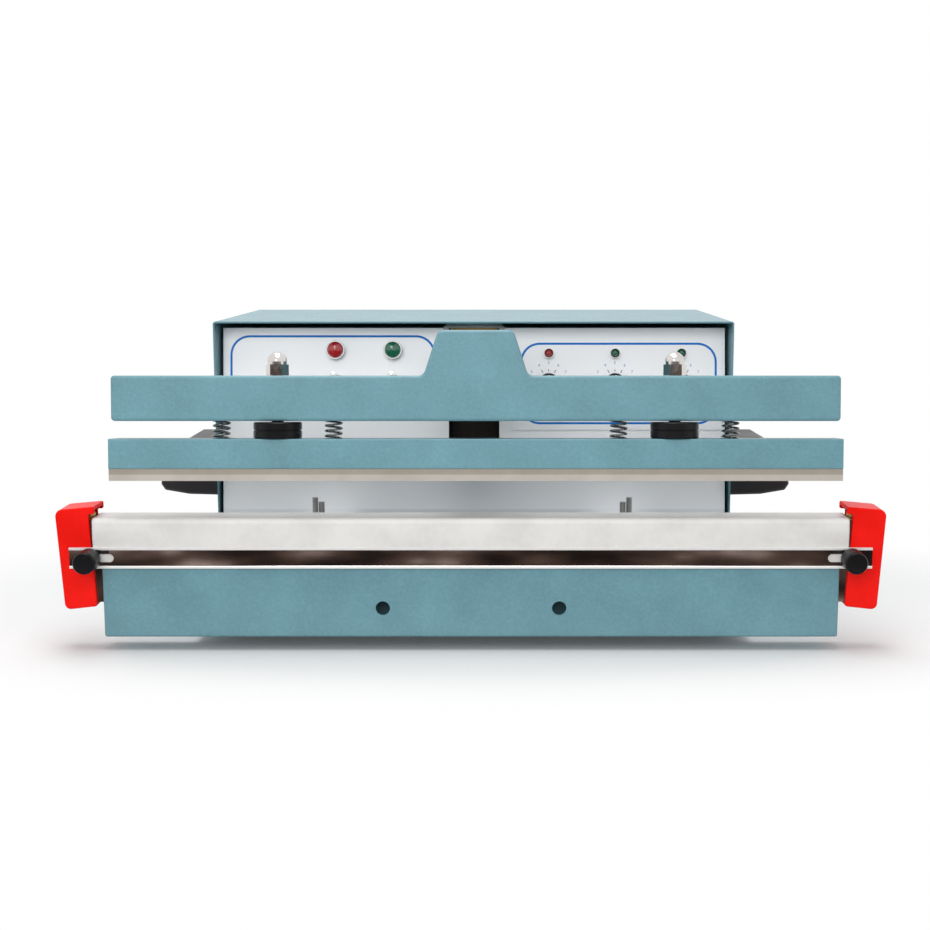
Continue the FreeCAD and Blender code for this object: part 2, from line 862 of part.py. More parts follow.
# Ends of the sealing bar
def make_bar_ends():
    brackets = []
    terminals = []
    for side in SIDES.values():
        middle = f"{side} * (bar_end + bracket_width / 2)"
        bracket = box(
            middle,
            "front_y + cap_wall + cap_fit",
            "bracket_low",
            "bracket_width",
            "bar_depth - 2 * (cap_wall + cap_fit)",
            "bar_top - bracket_low",
        )
        screw_hole = rod(
            f"{side} * clamp_spread / 2",
            "front_y",
            "strip_z",
            "clamp_screw_radius + slip",
            "clamp_screw_depth + clamp_screw_radius",
            "y",
        )
        stud_x = f"{side} * stud_out"
        stud_y = "front_y + bar_depth / 2"
        stud_hole = rod(
            stud_x, stud_y, "bar_top - terminal_screw_depth", "terminal_screw_radius", "terminal_screw_depth"
        )
        brackets.append(cut(bracket, screw_hole, stud_hole))
        block = box(
            f"{side} * (bar_end + terminal_width / 2)",
            f"{stud_y} - bed_width / 2",
            "bar_top",
            "terminal_width",
            "bed_width",
            "bed_thick",
        )
        shank_gap = rod(stud_x, stud_y, "bar_top", "terminal_screw_radius + slip", "bed_thick")
        terminals.append(cut(block, shank_gap))
        shank = rod(
            stud_x,
            stud_y,
            "bar_top - terminal_screw_depth",
            "terminal_screw_radius",
            "terminal_screw_depth + bed_thick + ribbon_thick",
        )
        head = rod(stud_x, stud_y, "ribbon_top", "terminal_screw_radius * 1.8", "terminal_head")
        terminals.append(joined(shank, head))
    node("end_brackets", group(*brackets))
    node("element_terminals", group(*terminals))
    for name, side in SIDES.items():
        cap = new_body()

        def x(offset):
            return f"{side} * (bar_end + {offset})"

        top = "foot_height + cap_top_rise"
        low = "foot_height + cap_low_rise"
        shape = [
            (x("cap_inner_low"), f"{low} + cap_slope"),
            (x("cap_outer_low"), low),
            (x("cap_outer_high"), f"{top} - cap_slope"),
            (x("cap_lip"), top),
            (x("cap_lip"), f"{top} - cap_lip_height"),
            (x("cap_inner_high"), f"{top} - cap_lip_height"),
        ]
        pad(cap, "XZ", shape, "bar_depth", "front_y")
        rounds = ("cap_inner_round", "cap_low_round", "cap_top_round", "cap_lip_round", "cap_lip_round", "cap_lip_round")
        for spot, radius in zip(shape, rounds):
            rounded(cap, radius, corner(*spot))
        faces = (number("front_y"), number("bar_back"))
        rounded(
            cap,
            "cap_edge",
            lambda middle, run, edge: edge.BoundBox.YLength < 0.01
            and min(abs(edge.BoundBox.YMin - face) for face in faces) < 0.01,
        )
        inside = [
            (x("0"), f"{low} + cap_wall + 1.2 * cap_slope"),
            (x("cap_outer_low - cap_wall - cap_low_round / 2"), f"{low} + cap_wall + 0.4 * cap_slope"),
            (x("cap_outer_low - cap_wall"), f"{low} + cap_wall + cap_low_round / 2"),
            (x("cap_outer_high - cap_wall"), f"{top} - cap_slope - cap_wall - cap_top_round / 2"),
            (x("cap_outer_high - cap_wall - cap_top_round / 2"), f"{top} - cap_slope - cap_wall"),
            (x("0"), f"{top} - cap_wall"),
        ]
        pocket(cap, "XZ", inside, "bar_depth - 2 * cap_wall", "front_y + cap_wall")
        notch_depth = "cap_wall + 2 * overshoot"
        notch_radius = "clamp_screw_radius + cap_fit"
        screw_hole = rod(
            f"{side} * clamp_spread / 2", "front_y - overshoot", "strip_z", notch_radius, notch_depth, "y"
        )
        way_in = box(
            f"{side} * (bar_end + clamp_spread / 2) / 2",
            "front_y - overshoot",
            f"strip_z - ({notch_radius})",
            "clamp_spread / 2 - bar_end",
            notch_depth,
            f"2 * ({notch_radius})",
        )
        node(f"end_cap_{name}", cut(cap, screw_hole, way_in))


# Tie brackets between the bar and the cabinet, with their screws
def make_ties():
    brackets = []
    screws = []
    shelf_z = "bar_top - tie_drop - tie_thick"
    for side in SIDES.values():
        middle = f"{side} * tie_spread / 2"
        shelf = box(middle, "bar_back", shelf_z, "tie_width", "panel_y - bar_back", "tie_thick")
        foot = box(middle, "bar_back", f"{shelf_z} - tie_flange", "tie_width", "tie_thick", "tie_flange")
        holes = []
        for offset, height in ((-1, "tie_screw_tall"), (1, "tie_screw_short")):
            x = f"{middle} + {side} * {-offset} * tie_screw_pitch / 2"
            y = "front_y + tie_screw_setback"
            holes.append(rod(x, y, f"{shelf_z} - overshoot", "tie_screw_radius", "tie_thick + 2 * overshoot"))
            low = f"{shelf_z} - tie_screw_foot"
            shank = rod(x, y, low, "tie_screw_radius", f"tie_screw_foot + tie_thick + {height}")
            nut = rod(x, y, low, "tie_screw_pitch * 0.48", "tie_screw_foot")
            screws.append(joined(shank, nut))
        brackets.append(cut(joined(shelf, foot), *holes))
    node("tie_brackets", group(*brackets))
    node("tie_screws", group(*screws))


# Cabinet sheet metal
def make_cabinet():
    cover = new_body()
    inside_top = "cabinet_top - sheet"
    section = [
        ("-cab_half", "foot_height"),
        ("-cab_inside", "foot_height"),
        ("-cab_inside", inside_top),
        ("cab_inside", inside_top),
        ("cab_inside", "foot_height"),
        ("cab_half", "foot_height"),
        ("cab_half", "cabinet_top"),
        ("-cab_half", "cabinet_top"),
    ]
    pad(cover, "XZ", section, "cabinet_depth", "cab_front")
    top = number("cabinet_top")
    rounded(cover, "cabinet_bend", lambda middle, run, edge: abs(run.y) > 0.9 and abs(middle.z - top) < 0.01)
    holes = []
    for side in SIDES.values():
        for y, z in handle_screw_spots():
            start = "-cab_half - sheet" if side < 0 else "cab_half - 2 * sheet"
            holes.append(rod(start, y, z, "case_screw_radius", "3 * sheet", "x"))
    node("cabinet_cover", cut(cover, *holes))

    width = "2 * (cab_inside - panel_side_gap)"
    lower = box("0", "panel_y", "pan_top", width, "sheet", "fold_height - pan_top")
    upper = box("0", "0", "0", width, "sheet", "panel_length")
    slot = box("0", "-sheet", "slot_low", "slot_width", "3 * sheet", "panel_length")
    holes = [slot]
    for index in range(2):
        x = f"-lamp_start + {index} * lamp_pitch"
        holes.append(rod(x, "-sheet", "lamp_row", "lamp_hole_radius + slip", "3 * sheet", "y"))
        holes.append(rod(x, "-sheet", "dial_row", "toggle_bush_radius + slip", "3 * sheet", "y"))
    for index in range(3):
        x = f"dial_start + {index} * dial_pitch"
        holes.append(rod(x, "-sheet", "led_row", "led_radius + slip", "3 * sheet", "y"))
        holes.append(rod(x, "-sheet", "dial_row", "dial_bush_radius + slip", "3 * sheet", "y"))
    sloped = cut(upper, *holes)
    sloped.Placement = frame_placement("panel")
    bind(sloped, "Placement.Base.y", "panel_y")
    bind(sloped, "Placement.Base.z", "fold_height")
    bind(sloped, "Placement.Rotation.Angle", "-panel_angle")
    node("front_panel", joined(lower, sloped))

    plate = box(
        "plate_start + plate_width / 2", "-plate_thick", "plate_low", "plate_width", "plate_thick", "plate_height"
    )
    holes = []
    for index in range(3):
        x = f"dial_start + {index} * dial_pitch"
        holes.append(rod(x, "-2 * plate_thick", "led_row", "led_radius + slip", "3 * plate_thick", "y"))
        holes.append(rod(x, "-2 * plate_thick", "dial_row", "dial_bush_radius + slip", "3 * plate_thick", "y"))
    node("control_plate", cut(plate, *holes), "panel")

    rim = new_body()
    inner = "slot_width / 2"
    outer = "(slot_width / 2 + slot_rim)"
    arch = [
        (f"-{outer}", "slot_rim_low"),
        (f"-{inner}", "slot_rim_low"),
        (f"-{inner}", "slot_rim_top - slot_rim"),
        (inner, "slot_rim_top - slot_rim"),
        (inner, "slot_rim_low"),
        (outer, "slot_rim_low"),
        (outer, "slot_rim_top - slot_rim_corner"),
        (f"{outer} - slot_rim_corner", "slot_rim_top"),
        (f"-{outer} + slot_rim_corner", "slot_rim_top"),
        (f"-{outer}", "slot_rim_top - slot_rim_corner"),
    ]
    pad(rim, "XZ", arch, "slot_rim_thick", "-slot_rim_thick")
    node("slot_frame", group(rim), "panel")

    rear = box("0", "cab_back - sheet", "foot_height", "2 * cab_inside", "sheet", "cabinet_top - sheet - foot_height")
    openings = []
    for side in SIDES.values():
        for index in range(4):
            openings.append(
                box(
                    f"{side} * vent_length * 0.75",
                    "cab_back - 2 * sheet",
                    f"vent_rise + {index} * vent_pitch",
                    "vent_length",
                    "3 * sheet",
                    "vent_height",
                )
            )
    openings.append(
        box(
            "inlet_x",
            "cab_back - 2 * sheet",
            "inlet_rise - socket_height / 2 - sheet",
            "socket_width + 2 * sheet",
            "3 * sheet",
            "socket_height + 2 * sheet",
        )
    )
    openings.append(rod("fuse_x", "cab_back - 2 * sheet", "inlet_rise", "fuse_radius + slip", "3 * sheet", "y"))
    node("rear_panel", cut(rear, *openings))


def handle_screw_spots():
    """Where each handle's screws pass through the cover: y and z."""
    middle = "cab_front + handle_setback + handle_length / 2"
    height = "(handle_top + handle_low) / 2"
    return [(f"{middle} + {end} * handle_length / 3", height) for end in (-1, 1)]


# Carry handles: scoops that are open underneath for the fingers
def make_handles():
    screws = []
    for name, side in SIDES.items():
        body = new_body()

        def x(offset):
            return f"{side} * (cab_half + {offset})"

        shape = [
            (x("0"), "handle_low"),
            (x("handle_reach * 0.58"), "handle_low + handle_belly"),
            (x("handle_reach * 0.94"), "handle_low + handle_toe"),
            (x("handle_reach"), "handle_low + handle_nose"),
            (x("handle_reach * 0.98"), "handle_low + handle_brow"),
            (x("handle_reach * 0.89"), "handle_top - handle_shoulder"),
            (x("handle_reach * 0.68"), "handle_top"),
            (x("0"), "handle_top"),
        ]
        start = "cab_front + handle_setback"
        pad(body, "XZ", shape, "handle_length", start)
        rounded(body, "handle_round", lambda middle, run, edge: abs(middle.x) > number("cab_half") + 1)
        finger_space = [
            (x("handle_wall"), "handle_low - overshoot"),
            (x("handle_reach - 1.4 * handle_wall"), "handle_low - overshoot"),
            (x("handle_reach - 1.4 * handle_wall"), "handle_low + handle_brow - handle_wall / 3"),
            (x("handle_reach * 0.79"), "handle_top - handle_shoulder - handle_wall"),
            (x("handle_reach * 0.62"), "handle_top - handle_wall"),
            (x("handle_wall"), "handle_top - handle_wall"),
        ]
        pocket(body, "XZ", finger_space, "handle_length - 2 * handle_wall", f"{start} + handle_wall")
        holes = []
        for y, z in handle_screw_spots():
            left = "-cab_half - handle_wall" if side < 0 else "cab_half"
            holes.append(rod(left, y, z, "case_screw_radius", "handle_wall", "x"))
            shank_start = "-cab_half - handle_wall" if side < 0 else "cab_inside"
            shank = rod(shank_start, y, z, "case_screw_radius", "handle_wall + sheet", "x")
            head_start = "-cab_half - handle_wall - case_screw_head_height" if side < 0 else "cab_half + handle_wall"
            head = rod(head_start, y, z, "case_screw_head", "case_screw_head_height", "x")
            screws.append(joined(shank, head))
        node(f"carry_handle_{name}", cut(body, *holes))
    node("handle_screws", group(*screws))


# Lamps, toggles, dials and board on the sloping panel
def make_lamps():
    bezels = []
    for index, colour in enumerate(("red", "green")):
        x = f"-lamp_start + {index} * lamp_pitch"
        lens = [
            ("0", "-lamp_reach"),
            ("lamp_lens_radius * 0.5", "-lamp_reach * 0.96"),
            ("lamp_lens_radius * 0.85", "-lamp_reach * 0.86"),
            ("lamp_lens_radius", "-lamp_bezel_depth"),
            ("lamp_lens_radius", "-lamp_seat"),
            ("lamp_hole_radius", "-lamp_seat"),
            ("lamp_hole_radius", "lamp_body"),
            ("0", "lamp_body"),
        ]
        node(f"pilot_lamp_{colour}", turned("XY", lens, x=x, z="lamp_row"), "panel")
        ring = [
            ("lamp_hole_radius + slip", "0"),
            ("lamp_bezel_radius", "0"),
            ("lamp_bezel_radius", "-lamp_bezel_depth + slip"),
            ("lamp_bezel_radius - slip", "-lamp_bezel_depth"),
            ("lamp_lens_radius + slip", "-lamp_bezel_depth"),
            ("lamp_lens_radius + slip", "-lamp_seat"),
            ("lamp_hole_radius + slip", "-lamp_seat"),
        ]
        bezels.append(turned("XY", ring, x=x, z="lamp_row"))
    small = []
    seat = "-plate_thick"
    for index in range(3):
        x = f"dial_start + {index} * dial_pitch"
        led = [
            ("0", f"{seat} - led_reach"),
            ("led_radius * 0.6", f"{seat} - led_reach * 0.9"),
            ("led_radius * 0.95", f"{seat} - led_reach * 0.65"),
            ("led_radius", f"{seat} - led_reach * 0.45"),
            ("led_radius", "3 * sheet"),
            ("0", "3 * sheet"),
        ]
        small.append(turned("XY", led, x=x, z="led_row"))
        ring = [
            ("led_radius + slip", seat),
            ("led_bezel_radius", seat),
            ("led_bezel_radius", f"{seat} - led_bezel_depth"),
            ("led_bezel_radius - led_bezel_rim", f"{seat} - led_bezel_depth"),
            ("led_radius + slip", f"{seat} - led_bezel_depth * 0.6"),
        ]
        bezels.append(turned("XY", ring, x=x, z="led_row"))
    node("small_lamp_red", small[0], "panel")
    node("small_lamps_green", group(*small[1:]), "panel")
    node("lamp_bezels", group(*bezels), "panel")


def make_toggles():
    bodies = []
    for index, name in enumerate(SIDES):
        x = f"-lamp_start + {index} * lamp_pitch"
        case = box(
            x,
            "sheet",
            "dial_row - toggle_body_height / 2",
            "toggle_body_width",
            "toggle_body_depth",
            "toggle_body_height",
        )
        neck = rod(x, "-toggle_bush_reach", "dial_row", "toggle_bush_radius", "toggle_bush_reach + 2 * sheet", "y")
        nut = rod(x, "-toggle_nut_height", "dial_row", "toggle_bush_radius * 1.45", "toggle_nut_height", "y")
        mouth = rod(
            x, "-toggle_bush_reach", "dial_row", "toggle_mouth_radius", "toggle_bush_reach + 1.5 * sheet", "y"
        )
        bodies.append(cut(joined(case, neck, nut), mouth))
        reach = "toggle_reach"
        profile = [
            ("0", "toggle_neck_radius"),
            ("toggle_neck_radius", "toggle_neck_radius"),
            ("toggle_neck_radius", f"-{reach} * 0.35"),
            ("toggle_tip_radius", f"-{reach} * 0.9"),
            ("toggle_tip_radius * 0.75", f"-{reach}"),
            ("0", f"-{reach} - toggle_tip_radius * 0.25"),
        ]
        lever = turned("XY", profile)
        lever.Placement = Placement(Vector(), Rotation(Vector(1, 0, 0), -number("toggle_angle")))
        bind(lever, "Placement.Rotation.Angle", "-toggle_angle")
        bind(lever, "Placement.Base.x", x)
        bind(lever, "Placement.Base.y", "-toggle_bush_reach * 0.45")
        bind(lever, "Placement.Base.z", "dial_row")
        node(f"toggle_lever_{name}", group(lever), "panel")
    node("toggle_bodies", group(*bodies), "panel")


def make_dials():
    pots = []
    for index in range(3):
        x = f"dial_start + {index} * dial_pitch"
        case = rod(x, "sheet", "dial_row", "pot_radius", "pot_depth", "y")
        bush = rod(
            x,
            "-plate_thick - dial_bush_reach",
            "dial_row",
            "dial_bush_radius",
            "plate_thick + dial_bush_reach + 2 * sheet",
            "y",
        )
        shaft_front = "-plate_thick - dial_lift - dial_knob_height + 2 * dial_face_thick"
        shaft = rod(x, shaft_front, "dial_row", "dial_shaft_radius", f"2 * sheet - ({shaft_front})", "y")
        pots.append(joined(case, bush, shaft))
        face = "-plate_thick - dial_lift"
        front = f"{face} - dial_knob_height"
        grip = "dial_knob_radius * 0.8"
        profile = [
            ("0", front),
            (f"{grip} - dial_edge", front),
            (grip, f"{front} + dial_edge"),
            (grip, f"{face} - dial_skirt - dial_step"),
            ("dial_knob_radius", f"{face} - dial_skirt"),
            ("dial_knob_radius", face),
            ("dial_bush_radius + dial_bush_clear", face),
            ("dial_bush_radius + dial_bush_clear", f"{face} - dial_bush_reach"),
            ("dial_shaft_radius + run_clear", f"{face} - dial_bush_reach"),
            ("dial_shaft_radius + run_clear", f"{front} + dial_face_thick"),
            ("0", f"{front} + dial_face_thick"),
        ]
        knob = turned("XY", profile, x=x, z="dial_row")
        pointer = box(
            x,
            f"{front} - pointer_lift",
            "dial_row + dial_edge",
            "pointer_width",
            "pointer_depth",
            f"{grip} - 2 * dial_edge",
        )
        node(f"timer_knob_{index + 1}", joined(knob, pointer), "panel")
    node("timer_pots", group(*pots), "panel")
    board = box(
        "dial_start + dial_pitch",
        "sheet + pot_depth",
        "dial_row - board_height / 2",
        "plate_width - 2 * board_margin",
        "board_thick",
        "board_height",
    )
    back = "sheet + pot_depth + board_thick"
    relay = box(
        "dial_start + 0.5 * dial_pitch", back, "dial_row - relay_height", "relay_width", "relay_depth", "relay_height"
    )
    store = rod("dial_start + 1.6 * dial_pitch", back, "dial_row - store_drop", "store_radius", "store_length", "y")
    chip = box("dial_start + dial_pitch", back, "dial_row + chip_height", "chip_width", "chip_depth", "chip_height")
    node("control_board", joined(board, relay, store, chip), "panel")


# Pivot stand, shaft and lever
def make_pivot():
    stand_y = "pivot_y - stand_depth / 2"
    height = "pivot_height + shaft_radius * 2.2 - pan_top"
    front = "front_y + magnet_setback"
    width = "2 * (stand_inside + stand_plate)"
    plates = [
        box(f"{side} * (stand_inside + stand_plate / 2)", stand_y, "pan_top", "stand_plate", "stand_depth", height)
        for side in SIDES.values()
    ]
    spring_seat = "pivot_y + tail_pin_reach + 2 * return_outer_radius"
    floor = box("0", front, "pan_top", width, f"{spring_seat} - ({front})", "stand_foot")
    shelf = box("0", front, "magnet_low - stand_foot", width, "magnet_depth", "stand_foot")
    legs = [
        box(
            f"{side} * (stand_inside + stand_plate / 2)",
            front,
            "pan_top",
            "stand_plate",
            "magnet_depth",
            "magnet_low - pan_top",
        )
        for side in SIDES.values()
    ]
    bore = rod(f"-({width})", "pivot_y", "pivot_height", "shaft_radius", f"2 * ({width})", "x")
    node("pivot_stand", cut(joined(floor, shelf, *plates, *legs), bore))
    shaft_length = "2 * (stand_inside + stand_plate + shaft_over)"
    shaft = rod(f"-({shaft_length}) / 2", "pivot_y", "pivot_height", "shaft_radius", shaft_length, "x")
    clips = [
        rod(x, "pivot_y", "pivot_height", "shaft_radius * 1.4", "clip_thick", "x")
        for x in ("stand_inside + stand_plate", "-stand_inside - stand_plate - clip_thick")
    ]
    node("pivot_shaft", joined(shaft, *clips))

    lever = new_body()
    half = "lever_width / 2"
    thick = "lever_sheet"
    section = [
        (f"-{half}", "lever_low"),
        (f"-{half} + {thick}", "lever_low"),
        (f"-{half} + {thick}", f"lever_top - {thick}"),
        (f"{half} - {thick}", f"lever_top - {thick}"),
        (f"{half} - {thick}", "lever_low"),
        (half, "lever_low"),
        (half, "lever_top"),
        (f"-{half}", "lever_top"),
    ]
    start = "arm_front + beam_wall"
    pad(lever, "XZ", section, "pivot_setback - beam_wall + lever_tail", start)
    top = number("lever_top")
    rounded(lever, f"{thick}", lambda middle, run, edge: abs(run.y) > 0.9 and abs(middle.z - top) < 0.01)
    bush_radius = "shaft_radius + run_clear + bush_wall"
    bore = rod("-lever_width", "0", "0", bush_radius, "2 * lever_width", "x")
    pin_hole = rod("-lever_width", "tail_pin_reach", "tail_pin_z", "tail_pin_radius", "2 * lever_width", "x")
    cheeks = [
        box(
            f"{side} * ({half} - {thick} / 2)",
            "-cheek_front",
            "-cheek_drop",
            thick,
            "cheek_front + lever_tail",
            f"cheek_drop + lever_top - {thick}",
        )
        for side in SIDES.values()
    ]
    node("lever", cut(joined(lever, *cheeks), bore, pin_hole), "arm")
    sleeve = rod("-lever_width / 2", "0", "0", bush_radius, "lever_width", "x")
    hollow = rod("-lever_width", "0", "0", "shaft_radius + run_clear", "2 * lever_width", "x")
    node("pivot_bush", cut(sleeve, hollow), "arm")
    node(
        "tail_pin",
        rod_in_frame("-lever_width / 2", "tail_pin_reach", "tail_pin_z", "tail_pin_radius", "lever_width", "x"),
        "arm",
    )
    node(
        "rest_buffer",
        group(
            box(
                "0",
                "arm_front + buffer_setback",
                "lever_top",
                "buffer_width",
                "buffer_length",
                "buffer_top - lever_top",
            )
        ),
        "arm",
    )


def rod_in_frame(*sizes_and_axis):
    """A cylinder that keeps its own place inside a piece that is set in a frame."""
    return group(rod(*sizes_and_axis))


# Magnet that pulls the lever down, and the spring that lifts it again
def make_magnet():
    front = "front_y + magnet_setback"
    block = box("0", front, "magnet_low", "magnet_width", "magnet_depth", "magnet_height")
    window_low = "magnet_low + magnet_height - coil_height - magnet_sill"
    windows = [
        box(
            f"{side} * (magnet_limb + magnet_window / 2)",
            f"{front} - overshoot",
            window_low,
            "magnet_window",
            "magnet_depth + 2 * overshoot",
            "magnet_height",
        )
        for side in SIDES.values()
    ]
    node("magnet_yoke", cut(block, *windows))
    outside = box(
        "0",
        f"{front} - coil_build",
        f"{window_low} + coil_rise",
        "2 * (magnet_limb + coil_build)",
        "magnet_depth + 2 * coil_build",
        "coil_height",
    )
    core = box(
        "0",
        f"{front} - coil_clear",
        window_low,
        "2 * (magnet_limb + coil_clear)",
        "magnet_depth + 2 * coil_clear",
        "coil_height + 2 * coil_rise",
    )
    node("magnet_coil", cut(outside, core))
    plate = box("0", "magnet_y", "armature_low", "magnet_width", "magnet_depth", "armature_thick")
    node("armature", group(plate), "arm")

    lean = math.radians(number("open_angle"))
    pin_y = number("tail_pin_reach")
    pin_z = number("tail_pin_z")
    rest_y = number("pivot_y") + pin_y * math.cos(lean) + pin_z * math.sin(lean)
    rest_z = number("pivot_height") - pin_y * math.sin(lean) + pin_z * math.cos(lean)
    low = number("pan_top + stand_foot + return_seat_lift")
    wire = number("return_wire")
    height = rest_z - number("tail_pin_radius + return_seat_lift") - low
    turns = round(2 * (height - 4 * wire) / number("return_pitch") + 1) / 2
    solid = coil("return_spring", number("return_outer_radius"), wire, height, turns)
    solid.translate(Vector(0, rest_y, low))
    wound("return_spring", [solid], "cabinet")


# Transformer
def make_transformer():
    x = "-transformer_x"
    y = "front_y + transformer_setback"
    block = box(x, y, "pan_top", "core_width", "core_depth", "core_height")
    windows = [
        box(
            f"{x} + {side} * (core_width - core_limb * 2) / 4 + {side} * core_limb / 4",
            f"{y} - overshoot",
            "pan_top + core_limb",
            "core_width / 2 - core_limb * 1.5",
            "core_depth + 2 * overshoot",
            "core_height - 2 * core_limb",
        )
        for side in SIDES.values()
    ]
    node("transformer_core", cut(block, *windows))
    outer = box(
        x,
        f"{y} - winding_bulge",
        "pan_top + core_limb + winding_clear",
        "core_width - 2 * (core_limb + winding_clear)",
        "core_depth + 2 * winding_bulge",
        "core_height - 2 * (core_limb + winding_clear)",
    )
    limb = box(
        x,
        f"{y} - coil_clear",
        "pan_top + core_limb",
        "core_limb + 2 * coil_clear",
        "core_depth + 2 * coil_clear",
        "core_height",
    )
    node("transformer_coil", cut(outer, limb))


# Press beam, with its hump and open back
def make_beam():
    beam = new_body()

    def shape(edge):
        """The beam's front outline, drawn in by the given edge."""
        return [
            (f"-beam_length / 2 + {edge}", f"beam_low + {edge}"),
            (f"beam_length / 2 - {edge}", f"beam_low + {edge}"),
            (f"beam_length / 2 - {edge}", f"beam_top - {edge}"),
            (f"hump_low_width / 2 - {edge}", f"beam_top - {edge}"),
            (f"hump_top_width / 2 - {edge}", f"hump_top - {edge}"),
            (f"-hump_top_width / 2 + {edge}", f"hump_top - {edge}"),
            (f"-hump_low_width / 2 + {edge}", f"beam_top - {edge}"),
            (f"-beam_length / 2 + {edge}", f"beam_top - {edge}"),
        ]

    pad(beam, "XZ", shape("0"), "beam_depth", "arm_front")
    rounded(
        beam,
        "hump_round",
        lambda middle, run, edge: abs(run.y) > 0.99 and abs(middle.x) < number("hump_low_width") / 2 + 1,
    )
    end = number("beam_length / 2")
    rounded(
        beam,
        "beam_end_round",
        lambda middle, run, edge: abs(run.y) > 0.99 and abs(abs(middle.x) - end) < 0.01,
    )
    front = number("arm_front")
    rounded(beam, "beam_round", lambda middle, run, edge: abs(edge.BoundBox.YMax - front) < 0.01)
    pocket(beam, "XZ", shape("beam_wall"), "beam_depth", "arm_front + beam_wall")
    holes = []
    for side in SIDES.values():
        x = f"{side} * bolt_x"
        holes.append(rod(x, "bolt_y", "beam_low - overshoot", "bolt_radius + bolt_clear", "beam_height + 2 * overshoot"))
        for offset in (-1, 1):
            x = f"{side} * bolt_x + {offset} * spring_offset"
            holes.append(
                rod(
                    x,
                    "bolt_y",
                    "beam_low - overshoot",
                    "spring_outer_radius + spring_seat_clear",
                    "spring_pocket + overshoot",
                )
            )
    node("press_beam", cut(beam, *holes), "head")


# Floating pressure bar with its pad, bolts, nuts, wheels and springs
def make_pressure_bar():
    bar = new_body()
    front = "arm_front - (pressbar_depth - beam_depth) / 2"
    section = [
        (front, "press_low"),
        (f"{front} + pressbar_depth", "press_low"),
        (f"{front} + pressbar_depth", "press_top"),
        (front, "press_top"),
    ]
    pad(bar, "YZ", section, "pressbar_length", "-pressbar_length / 2")
    rounded(bar, "pressbar_round", lambda middle, run, edge: abs(run.x) > 0.9)
    groove = [
        ("bolt_y - tongue_width / 2", "press_low - overshoot"),
        ("bolt_y + tongue_width / 2", "press_low - overshoot"),
        ("bolt_y + tongue_width / 2", "press_low + tongue_height"),
        ("bolt_y - tongue_width / 2", "press_low + tongue_height"),
    ]
    pocket(bar, "YZ", groove, "pressbar_length", "-pressbar_length / 2")
    holes = []
    bolts = []
    nuts = []
    for side in SIDES.values():
        x = f"{side} * bolt_x"
        holes.append(rod(x, "bolt_y", "press_top - bolt_sink", "bolt_radius", "bolt_sink + overshoot"))
        for offset in (-1, 1):
            spring_x = f"{side} * bolt_x + {offset} * spring_offset"
            holes.append(
                rod(
                    spring_x,
                    "bolt_y",
                    "press_top - spring_pocket",
                    "spring_outer_radius + spring_seat_clear",
                    "spring_pocket + overshoot",
                )
            )
        nut_low = "beam_top + nut_lift"
        bolt_length = "bolt_sink + press_gap + beam_height + nut_lift + nut_height"
        bolts.append(rod(x, "bolt_y", "press_top - bolt_sink", "bolt_radius", bolt_length))
        nut = new_body()
        corner = "nut_flats / 2 / cos(30)"
        ring = [
            (f"{x} + {corner} * cos({60 * index})", f"bolt_y + {corner} * sin({60 * index})") for index in range(6)
        ]
        pad(nut, "XY", ring, "nut_height", nut_low)
        dome_low = f"{nut_low} + nut_height"
        dome_radius = "nut_flats * 0.495"
        stem = rod(x, "bolt_y", f"{dome_low} - overshoot", dome_radius, f"nut_dome - {dome_radius} + overshoot")
        dome = ball(x, "bolt_y", f"{dome_low} + nut_dome - {dome_radius}", dome_radius)
        thread = rod(x, "bolt_y", f"{nut_low} - overshoot", "bolt_radius", "nut_height + overshoot")
        nuts.append(cut(joined(nut, stem, dome), thread))
    node("pressure_bar", cut(bar, *holes), "head")
    node("guide_bolts", group(*bolts), "head")
    node("dome_nuts", group(*nuts), "head")

    pad_front = "bolt_y - pad_depth / 2"
    sole = box("0", pad_front, "pad_low", "pressbar_length", "pad_depth", "pad_height")
    tongue = box(
        "0",
        "bolt_y - tongue_width / 2",
        "press_low - overshoot",
        "pressbar_length",
        "tongue_width",
        "tongue_height + overshoot",
    )
    node("silicone_pad", joined(sole, tongue), "head")

    for name, side in SIDES.items():
        low = "press_top + wheel_lift"
        high = f"{low} + wheel_height"
        seam = f"{low} + wheel_height / 2"
        bore = "bolt_radius + run_clear"
        edge = "wheel_radius - wheel_edge"
        neck = "wheel_radius - wheel_seam_depth"
        profile = [
            (bore, low),
            (edge, low),
            ("wheel_radius", f"{low} + wheel_edge"),
            ("wheel_radius", f"{seam} - wheel_seam"),
            (neck, f"{seam} - wheel_seam / 2"),
            (neck, f"{seam} + wheel_seam / 2"),
            ("wheel_radius", f"{seam} + wheel_seam"),
            ("wheel_radius", f"{high} - wheel_edge"),
            (edge, high),
            (bore, high),
        ]
        node(f"adjuster_wheel_{name}", turned("XZ", profile, x=f"{side} * bolt_x", y="bolt_y"), "head")

    seat = number("press_top - spring_pocket + spring_seat_lift")
    height = number("press_gap + 2 * (spring_pocket - spring_seat_lift)")
    springs = []
    for side in SIDES.values():
        for offset in (-1, 1):
            solid = coil(
                "bar_springs", number("spring_outer_radius"), number("spring_wire"), height, number("spring_turns")
            )
            x = number(f"{side} * bolt_x + {offset} * spring_offset")
            solid.translate(Vector(x, number("bolt_y"), seat))
            springs.append(solid)
    wound("bar_springs", springs, "head")


